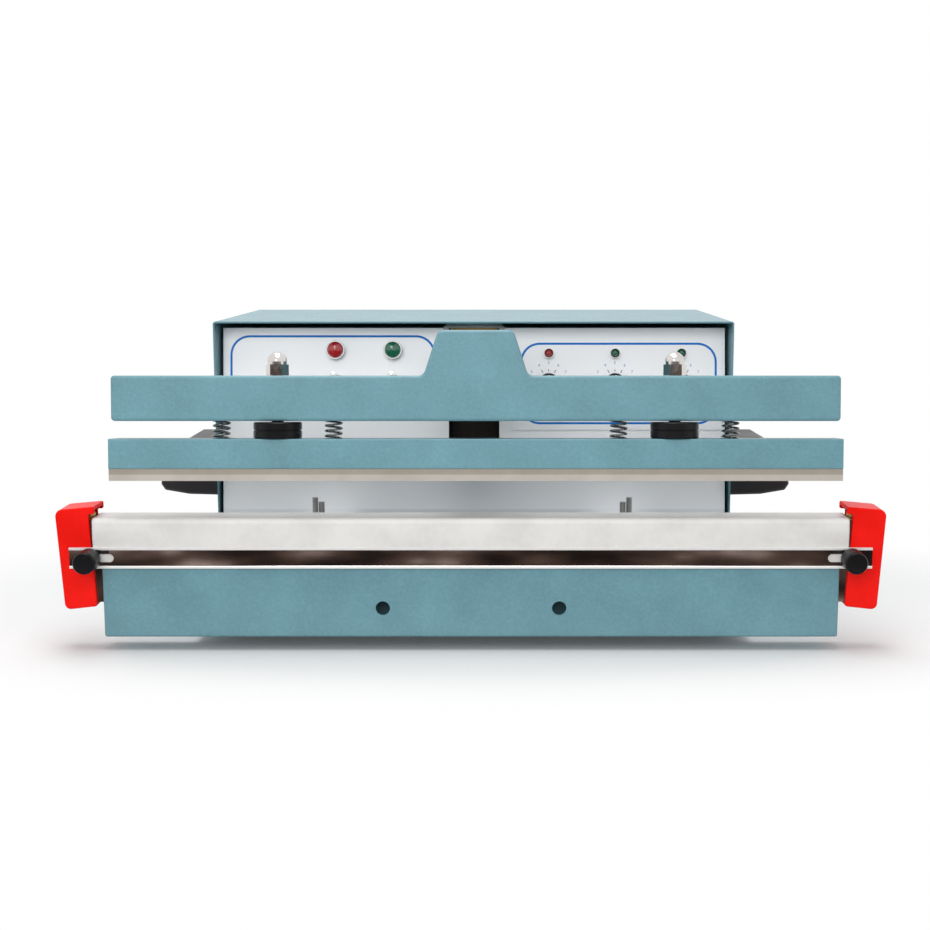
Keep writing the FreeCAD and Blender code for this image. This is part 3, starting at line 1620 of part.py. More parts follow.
# Mains inlet and fuse on the rear panel
def make_inlet():
    low = "inlet_rise - inlet_height / 2"
    flange = box("inlet_x", "cab_back", low, "inlet_width", "inlet_flange", "inlet_height")
    shell = box(
        "inlet_x",
        "cab_back - socket_depth - sheet",
        "inlet_rise - socket_height / 2 - sheet",
        "socket_width + 2 * sheet",
        "socket_depth + sheet + inlet_flange",
        "socket_height + 2 * sheet",
    )
    recess = box(
        "inlet_x",
        "cab_back - socket_depth + inlet_flange",
        "inlet_rise - socket_height / 2",
        "socket_width",
        "socket_depth + overshoot",
        "socket_height",
    )
    pins = [
        box(
            f"inlet_x + {place} * pin_pitch",
            "cab_back - socket_depth",
            f"inlet_rise - pin_height / 2 + {rise}",
            "pin_width",
            "socket_depth * 0.75",
            "pin_height",
        )
        for place, rise in ((-1, "-pin_drop"), (0, "pin_rise"), (1, "-pin_drop"))
    ]
    node("mains_inlet", joined(cut(joined(flange, shell), recess), *pins))
    barrel = rod("fuse_x", "cab_back - fuse_depth", "inlet_rise", "fuse_radius", "fuse_depth", "y")
    collar = rod("fuse_x", "cab_back", "inlet_rise", "fuse_cap_radius", "fuse_collar", "y")
    node("fuse_holder", joined(barrel, collar))
    cap = rod(
        "fuse_x",
        "cab_back + fuse_collar + fuse_gap",
        "inlet_rise",
        "fuse_cap_radius * 0.85",
        "rear_reach - fuse_collar - fuse_gap",
        "y",
    )
    coin_slot = box(
        "fuse_x",
        "cab_back + rear_reach - coin_slot_depth",
        "inlet_rise - coin_slot_width / 2",
        "fuse_cap_radius * 1.2",
        "coin_slot_depth + overshoot",
        "coin_slot_width",
    )
    node("fuse_cap", cut(cap, coin_slot))


make_base()
make_sealing_bar()
make_clamp()
make_bar_ends()
make_ties()
make_cabinet()
make_handles()
make_lamps()
make_toggles()
make_dials()
make_pivot()
make_magnet()
make_transformer()
make_beam()
make_pressure_bar()
make_inlet()
doc.recompute()

for item in doc.Objects:
    if "Invalid" in item.State or "Error" in item.State:
        raise RuntimeError(f"{item.Name} ({item.Label}) failed: {item.State}")
for piece in NODES:
    if piece.Shape.isNull() or not piece.Shape.isValid() or not piece.Shape.Solids:
        raise RuntimeError(f"{piece.Label} has no sound solid")

os.makedirs("parts", exist_ok=True)
for piece in NODES:
    piece.Shape.exportStep(f"parts/{piece.Label}.step")
print(len(NODES), "nodes written")
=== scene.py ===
"""Looks of a table-top impulse heat sealer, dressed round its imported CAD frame.

Metres, in the CAD frame: X along the sealing bar, the front faces -Y, Z is up.
"""

import json
import logging
import math
from dataclasses import dataclass, field
from enum import Enum
from typing import Any, Optional, Sequence

import bmesh
import bpy
from mathutils import Matrix, Vector


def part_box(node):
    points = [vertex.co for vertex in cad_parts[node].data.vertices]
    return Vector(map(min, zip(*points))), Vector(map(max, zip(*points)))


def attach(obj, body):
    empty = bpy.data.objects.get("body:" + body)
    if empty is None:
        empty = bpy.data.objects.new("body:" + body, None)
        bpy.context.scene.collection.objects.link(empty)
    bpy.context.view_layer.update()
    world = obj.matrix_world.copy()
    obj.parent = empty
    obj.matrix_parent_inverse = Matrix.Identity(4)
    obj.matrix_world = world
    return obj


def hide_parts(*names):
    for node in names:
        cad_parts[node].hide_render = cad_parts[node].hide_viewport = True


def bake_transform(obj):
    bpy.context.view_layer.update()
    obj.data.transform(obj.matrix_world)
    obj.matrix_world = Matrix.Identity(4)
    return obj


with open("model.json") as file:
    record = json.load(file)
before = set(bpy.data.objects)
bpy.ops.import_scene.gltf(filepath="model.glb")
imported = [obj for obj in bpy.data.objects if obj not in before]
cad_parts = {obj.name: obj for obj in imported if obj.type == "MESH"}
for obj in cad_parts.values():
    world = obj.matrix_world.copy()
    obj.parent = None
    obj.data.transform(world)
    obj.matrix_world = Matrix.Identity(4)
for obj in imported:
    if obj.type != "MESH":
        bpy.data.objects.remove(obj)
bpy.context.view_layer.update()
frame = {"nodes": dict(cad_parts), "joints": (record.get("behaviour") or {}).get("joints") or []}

MM = 0.001
Colour = tuple[float, float, float]
Thing = bpy.types.Object
Verts = list[bmesh.types.BMVert]
log = logging.getLogger("sealer")


class Body(Enum):
    """The CAD bodies that dressed pieces ride on."""

    MACHINE = "machine"
    ARM = "arm"
    PRESS_BAR = "press_bar"
    CLAMP_LEFT = "clamp_left"
    CLAMP_RIGHT = "clamp_right"
    TIMER_1 = "timer_1"
    TIMER_2 = "timer_2"
    TIMER_3 = "timer_3"


# Shader building


class Socket:
    """One output of a node; arithmetic on it adds Math nodes."""

    def __init__(self, shader: "Shader", link: bpy.types.NodeSocket) -> None:
        """Keep the shader that the socket belongs to, and its link."""
        self.shader = shader
        self.link = link

    def math(self, operation: str, first: Any, second: Any) -> "Socket":
        """Add one Math node.

        Args:
            operation: The Math node's operation.
            first: Its first value or socket.
            second: Its second value or socket.

        Returns:
            The node's output.
        """
        return self.shader.node("ShaderNodeMath", {"operation": operation}, {0: first, 1: second})

    def __add__(self, other: Any) -> "Socket":
        """Sum."""
        return self.math("ADD", self, other)

    def __radd__(self, other: Any) -> "Socket":
        """Sum, with the number first."""
        return self.math("ADD", other, self)

    def __sub__(self, other: Any) -> "Socket":
        """Difference."""
        return self.math("SUBTRACT", self, other)

    def __rsub__(self, other: Any) -> "Socket":
        """Difference, with the number first."""
        return self.math("SUBTRACT", other, self)

    def __mul__(self, other: Any) -> "Socket":
        """Product."""
        return self.math("MULTIPLY", self, other)

    def __rmul__(self, other: Any) -> "Socket":
        """Product, with the number first."""
        return self.math("MULTIPLY", other, self)


class Shader:
    """A material's node tree, with one method that adds any node."""

    def __init__(self, name: str) -> None:
        """Start a material that has only a Principled shader."""
        self.material = bpy.data.materials.new(name)
        self.material.use_nodes = True
        self.tree = self.material.node_tree
        self.principled = self.tree.nodes["Principled BSDF"]

    def node(self, kind: str, settings: dict[str, Any], inputs: dict[Any, Any], output: Any = 0) -> Socket:
        """Add a node.

        Args:
            kind: The node's type.
            settings: Attributes that are set first; "stops" are a ramp's (place, colour) pairs.
            inputs: Values or sockets by input name or number.
            output: The output to return, by name or number.

        Returns:
            The chosen output.
        """
        made = self.tree.nodes.new(kind)
        for key, value in settings.items():
            if key == "stops":
                self.set_stops(made.color_ramp, value)
            else:
                setattr(made, key, value)
        for key, value in inputs.items():
            self.feed(made.inputs[key], value)
        return Socket(self, made.outputs[output])

    def set_stops(self, ramp: bpy.types.ColorRamp, stops: Sequence[tuple[float, Colour]]) -> None:
        """Give a ramp its stops.

        Args:
            ramp: The ramp.
            stops: Its (place, colour) pairs, in order.
        """
        while len(ramp.elements) < len(stops):
            ramp.elements.new(1.0)
        for element, (place, colour) in zip(ramp.elements, stops):
            element.position = place
            element.color = (*colour, 1.0)

    def feed(self, entry: bpy.types.NodeSocket, value: Any) -> None:
        """Link a socket to an input, or set the input's value.

        Args:
            entry: The input.
            value: A socket, a number, a colour or a vector.
        """
        if isinstance(value, Socket):
            self.tree.links.new(value.link, entry)
        elif entry.type == "RGBA" and len(value) == 3:
            entry.default_value = (*value, 1.0)
        else:
            entry.default_value = value

    def principled_inputs(self, **inputs: Any) -> None:
        """Set or link the Principled shader's inputs; an underscore stands for a space."""
        for key, value in inputs.items():
            self.feed(self.principled.inputs[key.replace("_", " ")], value)

    def looks(self) -> Socket:
        """Find the rays of the camera, of reflections and of glass.

        Returns:
            One for these rays, and zero for the rest.
        """
        found = self.node("ShaderNodeLightPath", {}, {}, "Is Camera Ray")
        for kind in ("Is Glossy Ray", "Is Transmission Ray"):
            found = found.math("MAXIMUM", found, self.node("ShaderNodeLightPath", {}, {}, kind))
        return found

    def surface(self, shade: Socket) -> None:
        """Make a shader the material's surface."""
        self.feed(self.tree.nodes["Material Output"].inputs["Surface"], shade)

    def place(self, stretch: Sequence[float] = (1, 1, 1)) -> Socket:
        """Object coordinates, stretched along each axis."""
        found = self.node("ShaderNodeTexCoord", {}, {}, "Object")
        return self.node("ShaderNodeMapping", {}, {"Vector": found, "Scale": tuple(stretch)})

    def axis(self, letter: str) -> Socket:
        """One of the object coordinates."""
        found = self.node("ShaderNodeTexCoord", {}, {}, "Object")
        return self.node("ShaderNodeSeparateXYZ", {}, {0: found}, letter)

    def noise(self, size: float, detail: float = 2.0, where: Optional[Socket] = None) -> Socket:
        """Noise with features of the given size in metres."""
        wanted = {"Vector": where or self.place(), "Scale": 1 / size, "Detail": detail}
        return self.node("ShaderNodeTexNoise", {}, wanted, "Fac")

    def cells(self, size: float, feature: str = "SMOOTH_F1") -> Socket:
        """Distance to the nearest of scattered points, the given size apart."""
        wanted = {"Vector": self.place(), "Scale": 1 / size}
        return self.node("ShaderNodeTexVoronoi", {"feature": feature}, wanted, "Distance")

    def wave(self, value: Socket, pitch: float) -> Socket:
        """A sine over a value in metres, with the given pitch."""
        return self.node("ShaderNodeMath", {"operation": "SINE"}, {0: value * (2 * math.pi / pitch)})

    def ramp(self, value: Socket, *stops: tuple[float, Colour]) -> Socket:
        """Colours by value."""
        return self.node("ShaderNodeValToRGB", {"stops": stops}, {0: value})

    def span(self, value: Socket, low: float, high: float, start: float = 0.0, end: float = 1.0) -> Socket:
        """A value's range mapped onto another, held at its ends."""
        wanted = {"Value": value, "From Min": start, "From Max": end, "To Min": low, "To Max": high}
        return self.node("ShaderNodeMapRange", {}, wanted)

    def mix(self, share: Any, first: Any, second: Any, blend: str = "MIX") -> Socket:
        """Colours mixed by a share."""
        settings = {"data_type": "RGBA", "blend_type": blend}
        return self.node("ShaderNodeMix", settings, {0: share, 6: first, 7: second}, 2)

    def bump(self, height: Socket, distance: float, strength: float) -> Socket:
        """A bumped normal of the given depth in metres."""
        wanted = {"Height": height, "Distance": distance, "Strength": strength}
        return self.node("ShaderNodeBump", {}, wanted)


class WorldShader(Shader):
    """The world's node tree."""

    def __init__(self, name: str) -> None:
        """Start a world that has only its Background, and give it to the scene."""
        world = bpy.data.worlds.new(name)
        bpy.context.scene.world = world
        world.use_nodes = True
        self.tree = world.node_tree
        self.background = self.tree.nodes["Background"]


def toned(colour: Colour, share: float, lift: float = 0.0) -> Colour:
    """A colour made darker or lighter, and held at white."""
    return tuple(min(1.0, part * share + lift) for part in colour)


# Finishes


@dataclass(frozen=True)
class Finish:
    """A finish whose material is made once and shared."""

    name: str

    def material(self) -> bpy.types.Material:
        """Make the finish's material, or find it again.

        Returns:
            The material.
        """
        found = bpy.data.materials.get(self.name)
        if found is None:
            shader = Shader(self.name)
            self.dress(shader)
            found = shader.material
        return found

    def dress(self, shader: Shader) -> None:
        """Fill the material's nodes.

        Args:
            shader: The material to fill.
        """
        raise NotImplementedError


@dataclass(frozen=True)
class HammerPaint(Finish):
    """Baked enamel with a fine hammered skin."""

    colour: Colour = (0.126, 0.272, 0.318)
    cell: float = 2.3 * MM
    depth: float = 0.09 * MM
    roughness: float = 0.36

    def dress(self, shader: Shader) -> None:
        """Small dimples, soft blotches of tone and a thin gloss.

        Args:
            shader: The material to fill.
        """
        dimple = shader.cells(self.cell)
        grit = shader.noise(0.7 * MM, 3)
        blotch = shader.noise(45 * MM, 3)
        dark = toned(self.colour, 0.86)
        light = toned(self.colour, 1.12, 0.004)
        tone = shader.ramp(blotch * 0.7 + dimple * 0.35, (0.3, dark), (0.55, self.colour), (0.8, light))
        rough = shader.span(dimple, self.roughness - 0.06, self.roughness + 0.1, 0.1, 0.7)
        height = dimple * 0.8 + grit * 0.35
        shader.principled_inputs(
            Base_Color=tone,
            Roughness=rough,
            Normal=shader.bump(height, self.depth, 0.8),
            Coat_Weight=0.18,
            Coat_Roughness=0.22,
            Specular_IOR_Level=0.45,
        )


@dataclass(frozen=True)
class PanelEnamel(Finish):
    """Smooth white enamel with a faint orange peel."""

    colour: Colour = (0.94, 0.95, 0.97)

    def dress(self, shader: Shader) -> None:
        """A cool white with slight clouds, and a gloss that ripples a little.

        Args:
            shader: The material to fill.
        """
        cloud = shader.noise(120 * MM, 2)
        dim = toned(self.colour, 0.965)
        peel = shader.noise(2.6 * MM, 1)
        shader.principled_inputs(
            Base_Color=shader.ramp(cloud, (0.35, dim), (0.65, self.colour)),
            Roughness=shader.span(peel, 0.2, 0.3),
            Normal=shader.bump(peel, 0.02 * MM, 0.5),
            Coat_Weight=0.3,
            Coat_Roughness=0.08,
        )


@dataclass(frozen=True)
class BrightMetal(Finish):
    """Polished or plated metal with fine marks."""

    colour: Colour = (0.78, 0.77, 0.76)
    roughness: float = 0.08
    streak: Sequence[float] = (0.05, 1.0, 1.0)

    def dress(self, shader: Shader) -> None:
        """Long fine scratches along the streak's short axis, and faint smears.

        Args:
            shader: The material to fill.
        """
        scratch, smear, tone = self.marks(shader)
        wear = scratch * 0.5 + smear * 0.5
        shader.principled_inputs(
            Base_Color=tone,
            Metallic=1.0,
            Roughness=shader.span(wear, self.roughness * 0.6, self.roughness * 1.7, 0.25, 0.75),
            Normal=shader.bump(scratch, 0.006 * MM, 0.35),
        )

    def marks(self, shader: Shader) -> tuple[Socket, Socket, Socket]:
        """The wear of bright metal.

        Args:
            shader: The material to fill.

        Returns:
            The scratches, the smears, and the metal's colour under them.
        """
        scratch = shader.noise(0.9 * MM, 2, shader.place(stretch=self.streak))
        smear = shader.noise(22 * MM, 3)
        tone = shader.ramp(smear, (0.3, toned(self.colour, 0.86)), (0.7, self.colour))
        return scratch, smear, tone


@dataclass(frozen=True)
class BeadedChrome(BrightMetal):
    """A mirror-bright strip whose rolled beads along both edges are satin, with a painted highlight on
    them.
    """

    colour: Colour = (0.80, 0.78, 0.77)
    low: float = 0.0
    high: float = 0.0
    bead: float = 2.2 * MM
    # satin: the beads' pale colour, a painted highlight along both edges
    satin: Colour = (0.86, 0.85, 0.84)

    def dress(self, shader: Shader) -> None:
        """Mirror between the beads, and on them a satin roughness under a painted highlight: a pale, less
        metallic colour.

        Args:
            shader: The material to fill.
        """
        middle = (self.low + self.high) / 2
        reach = shader.node("ShaderNodeMath", {"operation": "ABSOLUTE"}, {0: shader.axis("Z") - middle})
        edge = (self.high - self.low) / 2 - self.bead
        bead = shader.span(reach, 0.0, 1.0, edge, edge + 0.5 * MM)
        scratch, _, mirror = self.marks(shader)
        shader.principled_inputs(
            # On the beads: a painted highlight (pale colour, less metal); the higher roughness there is a
            # real satin finish.
            Base_Color=shader.mix(bead, mirror, self.satin),
            Metallic=shader.span(bead, 1.0, 0.35),
            Roughness=shader.span(bead, 0.05, 0.4) + scratch * 0.04,
            Normal=shader.bump(scratch, 0.006 * MM, 0.35),
        )


@dataclass(frozen=True)
class ThreadedMetal(Finish):
    """Plated screws, with thread ridges round the vertical axis."""

    colour: Colour = (0.52, 0.51, 0.49)
    pitch: float = 1.0 * MM

    def dress(self, shader: Shader) -> None:
        """Ridges by height, with painted shade in their roots.

        Args:
            shader: The material to fill.
        """
        ridge = shader.wave(shader.axis("Z"), self.pitch) * 0.5 + 0.5
        # The roots are darker than the crests: painted shade in the thread roots.
        dark = toned(self.colour, 0.4)
        shader.principled_inputs(
            Base_Color=shader.ramp(ridge, (0.1, dark), (0.7, self.colour)),
            Metallic=1.0,
            Roughness=shader.span(shader.noise(3 * MM), 0.22, 0.42),
            Normal=shader.bump(ridge, 0.25 * MM, 0.7),
        )


@dataclass(frozen=True)
class Moulded(Finish):
    """Moulded plastic or rubber with a fine grain."""

    colour: Colour = (0.014, 0.014, 0.016)
    roughness: float = 0.42
    grain: float = 0.8 * MM
    depth: float = 0.02 * MM
    coat: float = 0.0
    gloss: float = 0.5

    def dress(self, shader: Shader) -> None:
        """A grain with light wear, and faint clouds of tone.

        Args:
            shader: The material to fill.
        """
        grain = shader.noise(self.grain, 2)
        cloud = shader.noise(30 * MM, 3)
        light = toned(self.colour, 1.18, 0.003)
        wear = cloud * 0.6 + grain * 0.4
        shader.principled_inputs(
            Base_Color=shader.ramp(cloud, (0.35, self.colour), (0.75, light)),
            Roughness=shader.span(wear, self.roughness - 0.06, self.roughness + 0.08, 0.3, 0.7),
            Normal=shader.bump(grain, self.depth, 0.6),
            Coat_Weight=self.coat,
            Coat_Roughness=0.06,
            Specular_IOR_Level=self.gloss,
        )


@dataclass(frozen=True)
class PadSilicone(Finish):
    """Two layers of silicone rubber: a browner backing over a paler sole."""

    backing: Colour = (0.31, 0.278, 0.23)
    sole: Colour = (0.43, 0.395, 0.355)
    seam_height: float = 0.0
    lean: float = 0.0
    front: float = 0.0
    blur: float = 0.25 * MM

    def dress(self, shader: Shader) -> None:
        """The seam follows the tilted bar's own level.

        Args:
            shader: The material to fill.
        """
        height = shader.axis("Z") * math.cos(self.lean)
        depth = (shader.axis("Y") - self.front) * math.sin(self.lean)
        under, over = self.seam_height - self.blur, self.seam_height + self.blur
        layer = shader.span(height + depth, 0.0, 1.0, under, over)
        speck = shader.noise(1.6 * MM, 3)
        stain = shader.noise(26 * MM, 3)
        tone = shader.mix(layer, self.sole, self.backing)
        wear = shader.ramp(stain, (0.3, (0.88, 0.87, 0.86)), (0.65, (1.0, 1.0, 1.0)))
        worn = shader.mix(1.0, tone, wear, "MULTIPLY")
        shader.principled_inputs(
            Base_Color=worn,
            Roughness=shader.span(speck, 0.55, 0.72),
            Normal=shader.bump(speck, 0.05 * MM, 0.6),
        )


@dataclass(frozen=True)
class CoatedCloth(Finish):
    """Glass cloth with a smooth slippery coating."""

    colour: Colour = (0.68, 0.665, 0.645)
    thread: float = 0.45 * MM

    def dress(self, shader: Shader) -> None:
        """A tight weave by the piece's UV map in metres, with faint stains.

        Args:
            shader: The material to fill.
        """
        flat = shader.node("ShaderNodeUVMap", {"uv_map": "Weave"}, {})
        split = {axis: shader.node("ShaderNodeSeparateXYZ", {}, {0: flat}, axis) for axis in "XY"}
        weave = shader.wave(split["X"], self.thread) * shader.wave(split["Y"], self.thread) * 0.5 + 0.5
        stain = shader.noise(34 * MM, 4)
        fine = shader.noise(5 * MM, 3)
        dull = toned(self.colour, 0.88)
        shader.principled_inputs(
            Base_Color=shader.ramp(stain * 0.75 + fine * 0.25, (0.34, dull), (0.6, self.colour)),
            Roughness=shader.span(weave * 0.5 + fine * 0.5, 0.34, 0.5),
            Normal=shader.bump(weave * 0.3 + fine * 0.7, 0.05 * MM, 0.5),
            Coat_Weight=0.45,
            Coat_Roughness=0.35,
        )


@dataclass(frozen=True)
class LampLens(Finish):
    """A deep coloured lens with a moulded pattern inside."""

    colour: Colour = (0.44, 0.006, 0.010)

    def dress(self, shader: Shader) -> None:
        """Facets seen through a clear hard surface.

        Args:
            shader: The material to fill.
        """
        facet = shader.cells(1.2 * MM, "F1")
        deep = toned(self.colour, 0.72)
        shader.principled_inputs(
            Base_Color=shader.ramp(facet, (0.1, self.colour), (0.75, deep)),
            Roughness=shader.span(facet, 0.12, 0.2),
            Normal=shader.bump(facet, 0.12 * MM, 0.25),
            Coat_Weight=1.0,
            Coat_Roughness=0.02,
        )


@dataclass(frozen=True)
class Layered(Finish):
    """Stacked sheets or wound layers, seen as fine lines across one axis."""

    colour: Colour = (0.05, 0.05, 0.055)
    axis: str = "Y"
    pitch: float = 0.8 * MM
    metal: float = 0.0
    roughness: float = 0.5

    def dress(self, shader: Shader) -> None:
        """Lines at the pitch, with uneven tone.

        Args:
            shader: The material to fill.
        """
        line = shader.wave(shader.axis(self.axis), self.pitch) * 0.5 + 0.5
        tone = shader.noise(12 * MM, 3)
        light = toned(self.colour, 1.4, 0.004)
        shader.principled_inputs(
            Base_Color=shader.ramp(tone * 0.6 + line * 0.4, (0.25, self.colour), (0.8, light)),
            Metallic=self.metal,
            Roughness=shader.span(tone, self.roughness - 0.08, self.roughness + 0.08),
            Normal=shader.bump(line, 0.12 * MM, 0.6),
        )


@dataclass(frozen=True)
class PrintInk(Finish):
    """Screen-printed ink, a little uneven."""

    colour: Colour = (0.003, 0.15, 0.53)

    def dress(self, shader: Shader) -> None:
        """Tone that thins here and there.

        Args:
            shader: The material to fill.
        """
        thin = shader.noise(4 * MM, 3)
        light = toned(self.colour, 1.25, 0.01)
        shader.principled_inputs(
            Base_Color=shader.ramp(thin, (0.3, self.colour), (0.8, light)),
            Roughness=shader.span(thin, 0.4, 0.52),
            Normal=shader.bump(thin, 0.01 * MM, 0.4),
            Specular_IOR_Level=0.25,
        )


# Meshes


def linked(name: str, data: bpy.types.ID) -> Thing:
    """A new object in the scene, at the origin."""
    thing = bpy.data.objects.new(name, data)
    bpy.context.scene.collection.objects.link(thing)
    return thing


class Mesh:
    """A bmesh on its way to becoming a dressed piece."""

    def __init__(self, name: str) -> None:
        """Start an empty mesh."""
        self.name = name
        self.bm = bmesh.new()

    def since(self, before: set[bmesh.types.BMVert]) -> Verts:
        """The vertices that weren't there before."""
        return [vert for vert in self.bm.verts if vert not in before]

    def spun(self, profile: Sequence[tuple[float, float]], steps: int = 48) -> Verts:
        """Spin a profile of (radius, height) about Z into a closed skin.

        Args:
            profile: Points from one end to the other; ends on the axis close the skin.
            steps: Steps in a full turn.

        Returns:
            The new vertices.
        """
        before = set(self.bm.verts)
        line = [self.bm.verts.new((radius, 0, height)) for radius, height in profile]
        edges = [self.bm.edges.new(pair) for pair in zip(line, line[1:])]
        bmesh.ops.spin(
            self.bm,
            geom=line + edges,
            cent=(0, 0, 0),
            axis=(0, 0, 1),
            angle=2 * math.pi,
            steps=steps,
            use_merge=True,
        )
        bmesh.ops.remove_doubles(self.bm, verts=self.bm.verts, dist=1e-6)
        return self.since(before)

    def block(self, low: Sequence[float], high: Sequence[float], bevel: float = 0.0) -> Verts:
        """A block between two corners, with bevelled edges.

        Args:
            low: The lowest corner.
            high: The highest corner.
            bevel: The bevel's width.

        Returns:
            The new vertices.
        """
        before = set(self.bm.verts)
        made = bmesh.ops.create_cube(self.bm, size=1.0)["verts"]
        size = Vector(high) - Vector(low)
        bmesh.ops.scale(self.bm, vec=size, verts=made)
        bmesh.ops.translate(self.bm, vec=(Vector(high) + Vector(low)) / 2, verts=made)
        if bevel:
            edges = list({edge for vert in made for edge in vert.link_edges})
            bmesh.ops.bevel(
                self.bm, geom=edges, offset=bevel, affect="EDGES", segments=2, profile=0.5, material=-1
            )
        return self.since(before)

    def move(self, matrix: Matrix, verts: Optional[Verts] = None) -> None:
        """Transform some or all of the vertices."""
        bmesh.ops.transform(self.bm, matrix=matrix, verts=verts or self.bm.verts[:])

    def paint(self, verts: Verts, index: int) -> None:
        """Give the faces between some vertices a material number.

        Args:
            verts: The vertices.
            index: The material's number.
        """
        chosen = set(verts)
        for face in self.bm.faces:
            if all(vert in chosen for vert in face.verts):
                face.material_index = index

    def piece(
        self, body: Optional[Body], finishes: Sequence[Finish], smooth: bool = True, sharp: float = 35.0
    ) -> Thing:
        """Close the mesh, and make an object of it that rides on a body.

        Args:
            body: The CAD body it moves with, or None, which leaves it attached to none.
            finishes: One finish per material number.
            smooth: Whether faces are shaded smooth.
            sharp: The angle in degrees past which an edge stays sharp.

        Returns:
            The new object.
        """
        bmesh.ops.recalc_face_normals(self.bm, faces=self.bm.faces)
        for face in self.bm.faces:
            face.smooth = smooth
        for edge in self.bm.edges:
            if len(edge.link_faces) == 2 and edge.calc_face_angle(0.0) > math.radians(sharp):
                edge.smooth = False
        data = bpy.data.meshes.new(self.name)
        self.bm.to_mesh(data)
        self.bm.free()
        thing = linked(self.name, data)
        for finish in finishes:
            data.materials.append(finish.material())
        if body is not None:
            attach(thing, body.value)
        log.info("piece %s: %d faces", self.name, len(data.polygons))
        return thing


def joint(name: str) -> dict[str, Any]:
    """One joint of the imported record, by name."""
    return next(found for found in frame["joints"] if found["name"] == name)


def arm_lean() -> float:
    """The raised arm's tilt at rest, from the way the pressure bar slides."""
    axis = joint("press_bar_float")["axis"]
    return math.atan2(axis[1], axis[2])


def held(value: float) -> float:
    """A value held between zero and one."""
    return max(0.0, min(1.0, value))


# The palette

TEAL = HammerPaint("teal hammered enamel")
WHITE = PanelEnamel("white panel enamel")
CHROME = BrightMetal("bright chrome")
NICKEL = BrightMetal("nickel dome nuts", (0.72, 0.69, 0.66), 0.08, (1.0, 1.0, 0.2))
ZINC = BrightMetal("zinc plate", (0.56, 0.55, 0.53), 0.28, (1.0, 0.2, 1.0))
SPRING_WIRE = BrightMetal("spring wire", (0.46, 0.45, 0.43), 0.24, (1.0, 1.0, 0.3))
DARK_STEEL = BrightMetal("oiled steel", (0.16, 0.16, 0.165), 0.38, (1.0, 0.3, 1.0))
SCREW_ZINC = ThreadedMetal("threaded zinc")
BRASS = BrightMetal("brass", (0.62, 0.44, 0.16), 0.26, (1.0, 0.3, 1.0))
RIBBON = BrightMetal("ribbon alloy", (0.42, 0.38, 0.34), 0.3)
BLACK = Moulded("black moulded plastic")
BLACK_SATIN = Moulded("satin black grip", (0.006, 0.006, 0.007), 0.34, 1.4 * MM, 0.012 * MM, 0.0, 0.2)
BLACK_RUBBER = Moulded("black rubber", (0.012, 0.012, 0.012), 0.62, 1.1 * MM, 0.05 * MM)
RED = Moulded("red moulded cap", (0.72, 0.004, 0.001), 0.34, 3.0 * MM, 0.008 * MM, 0.0, 0.14)
TAN = Moulded("tan buffer rubber", (0.62, 0.38, 0.14), 0.66, 1.5 * MM, 0.06 * MM)
INSULATION = Moulded("insulating bed", (0.40, 0.28, 0.14), 0.6, 1.2 * MM, 0.03 * MM)
BOARD = Moulded("green circuit board", (0.012, 0.075, 0.03), 0.4, 2.0 * MM, 0.02 * MM)
LENS_RED = LampLens("red lens")
LENS_GREEN = LampLens("green lens", (0.005, 0.14, 0.07))
IRON = Layered("laminated iron", (0.055, 0.055, 0.06), "Y", 1.0 * MM, 0.6, 0.45)
WINDING = Layered("taped winding", (0.36, 0.22, 0.08), "Z", 2.2 * MM, 0.0, 0.5)
DARK_WINDING = Layered("varnished winding", (0.022, 0.014, 0.010), "Z", 2.2 * MM, 0.0, 0.45)
CLOTH = CoatedCloth("coated glass cloth")
BLUE_INK = PrintInk("blue ink")
DARK_INK = PrintInk("dark ink", (0.02, 0.05, 0.16))
WHITE_INK = PrintInk("white ink", (0.75, 0.75, 0.74))

CAD_FINISHES: dict[Finish, tuple[str, ...]] = {
    TEAL: ("base_pan", "sealing_bar", "cabinet_cover", "rear_panel", "lever", "press_beam", "pressure_bar"),
    WHITE: ("tie_brackets", "front_panel", "control_plate"),
    CHROME: ("end_brackets", "lamp_bezels", "toggle_lever_left", "toggle_lever_right"),
    NICKEL: ("dome_nuts",),
    ZINC: ("rear_cloth_strip", "slot_frame", "handle_screws", "toggle_bodies", "timer_pots"),
    SCREW_ZINC: ("tie_screws", "guide_bolts"),
    DARK_STEEL: ("pivot_stand", "pivot_shaft", "tail_pin"),
    BRASS: ("element_terminals", "pivot_bush"),
    RIBBON: ("heating_element",),
    BLACK: ("carry_handle_left", "carry_handle_right", "mains_inlet", "fuse_holder", "fuse_cap"),
    BLACK_SATIN: ("adjuster_wheel_left", "adjuster_wheel_right"),
    BLACK_RUBBER: ("rubber_feet",),
    RED: ("end_cap_left", "end_cap_right"),
    TAN: ("rest_buffer",),
    INSULATION: ("element_bed",),
    BOARD: ("control_board",),
    LENS_RED: ("pilot_lamp_red", "small_lamp_red"),
    LENS_GREEN: ("pilot_lamp_green", "small_lamps_green"),
    IRON: ("magnet_yoke", "armature", "transformer_core"),
    WINDING: ("transformer_coil",),
    DARK_WINDING: ("magnet_coil",),
}


def finish_node(node: str, finish: Finish) -> None:
    """Give a CAD node its finish.

    Args:
        node: The node's name.
        finish: The finish that it gets.
    """
    data = frame["nodes"][node].data
    data.materials.clear()
    data.materials.append(finish.material())
    log.info("node %s: %s", node, finish.name)


# Sub-assemblies


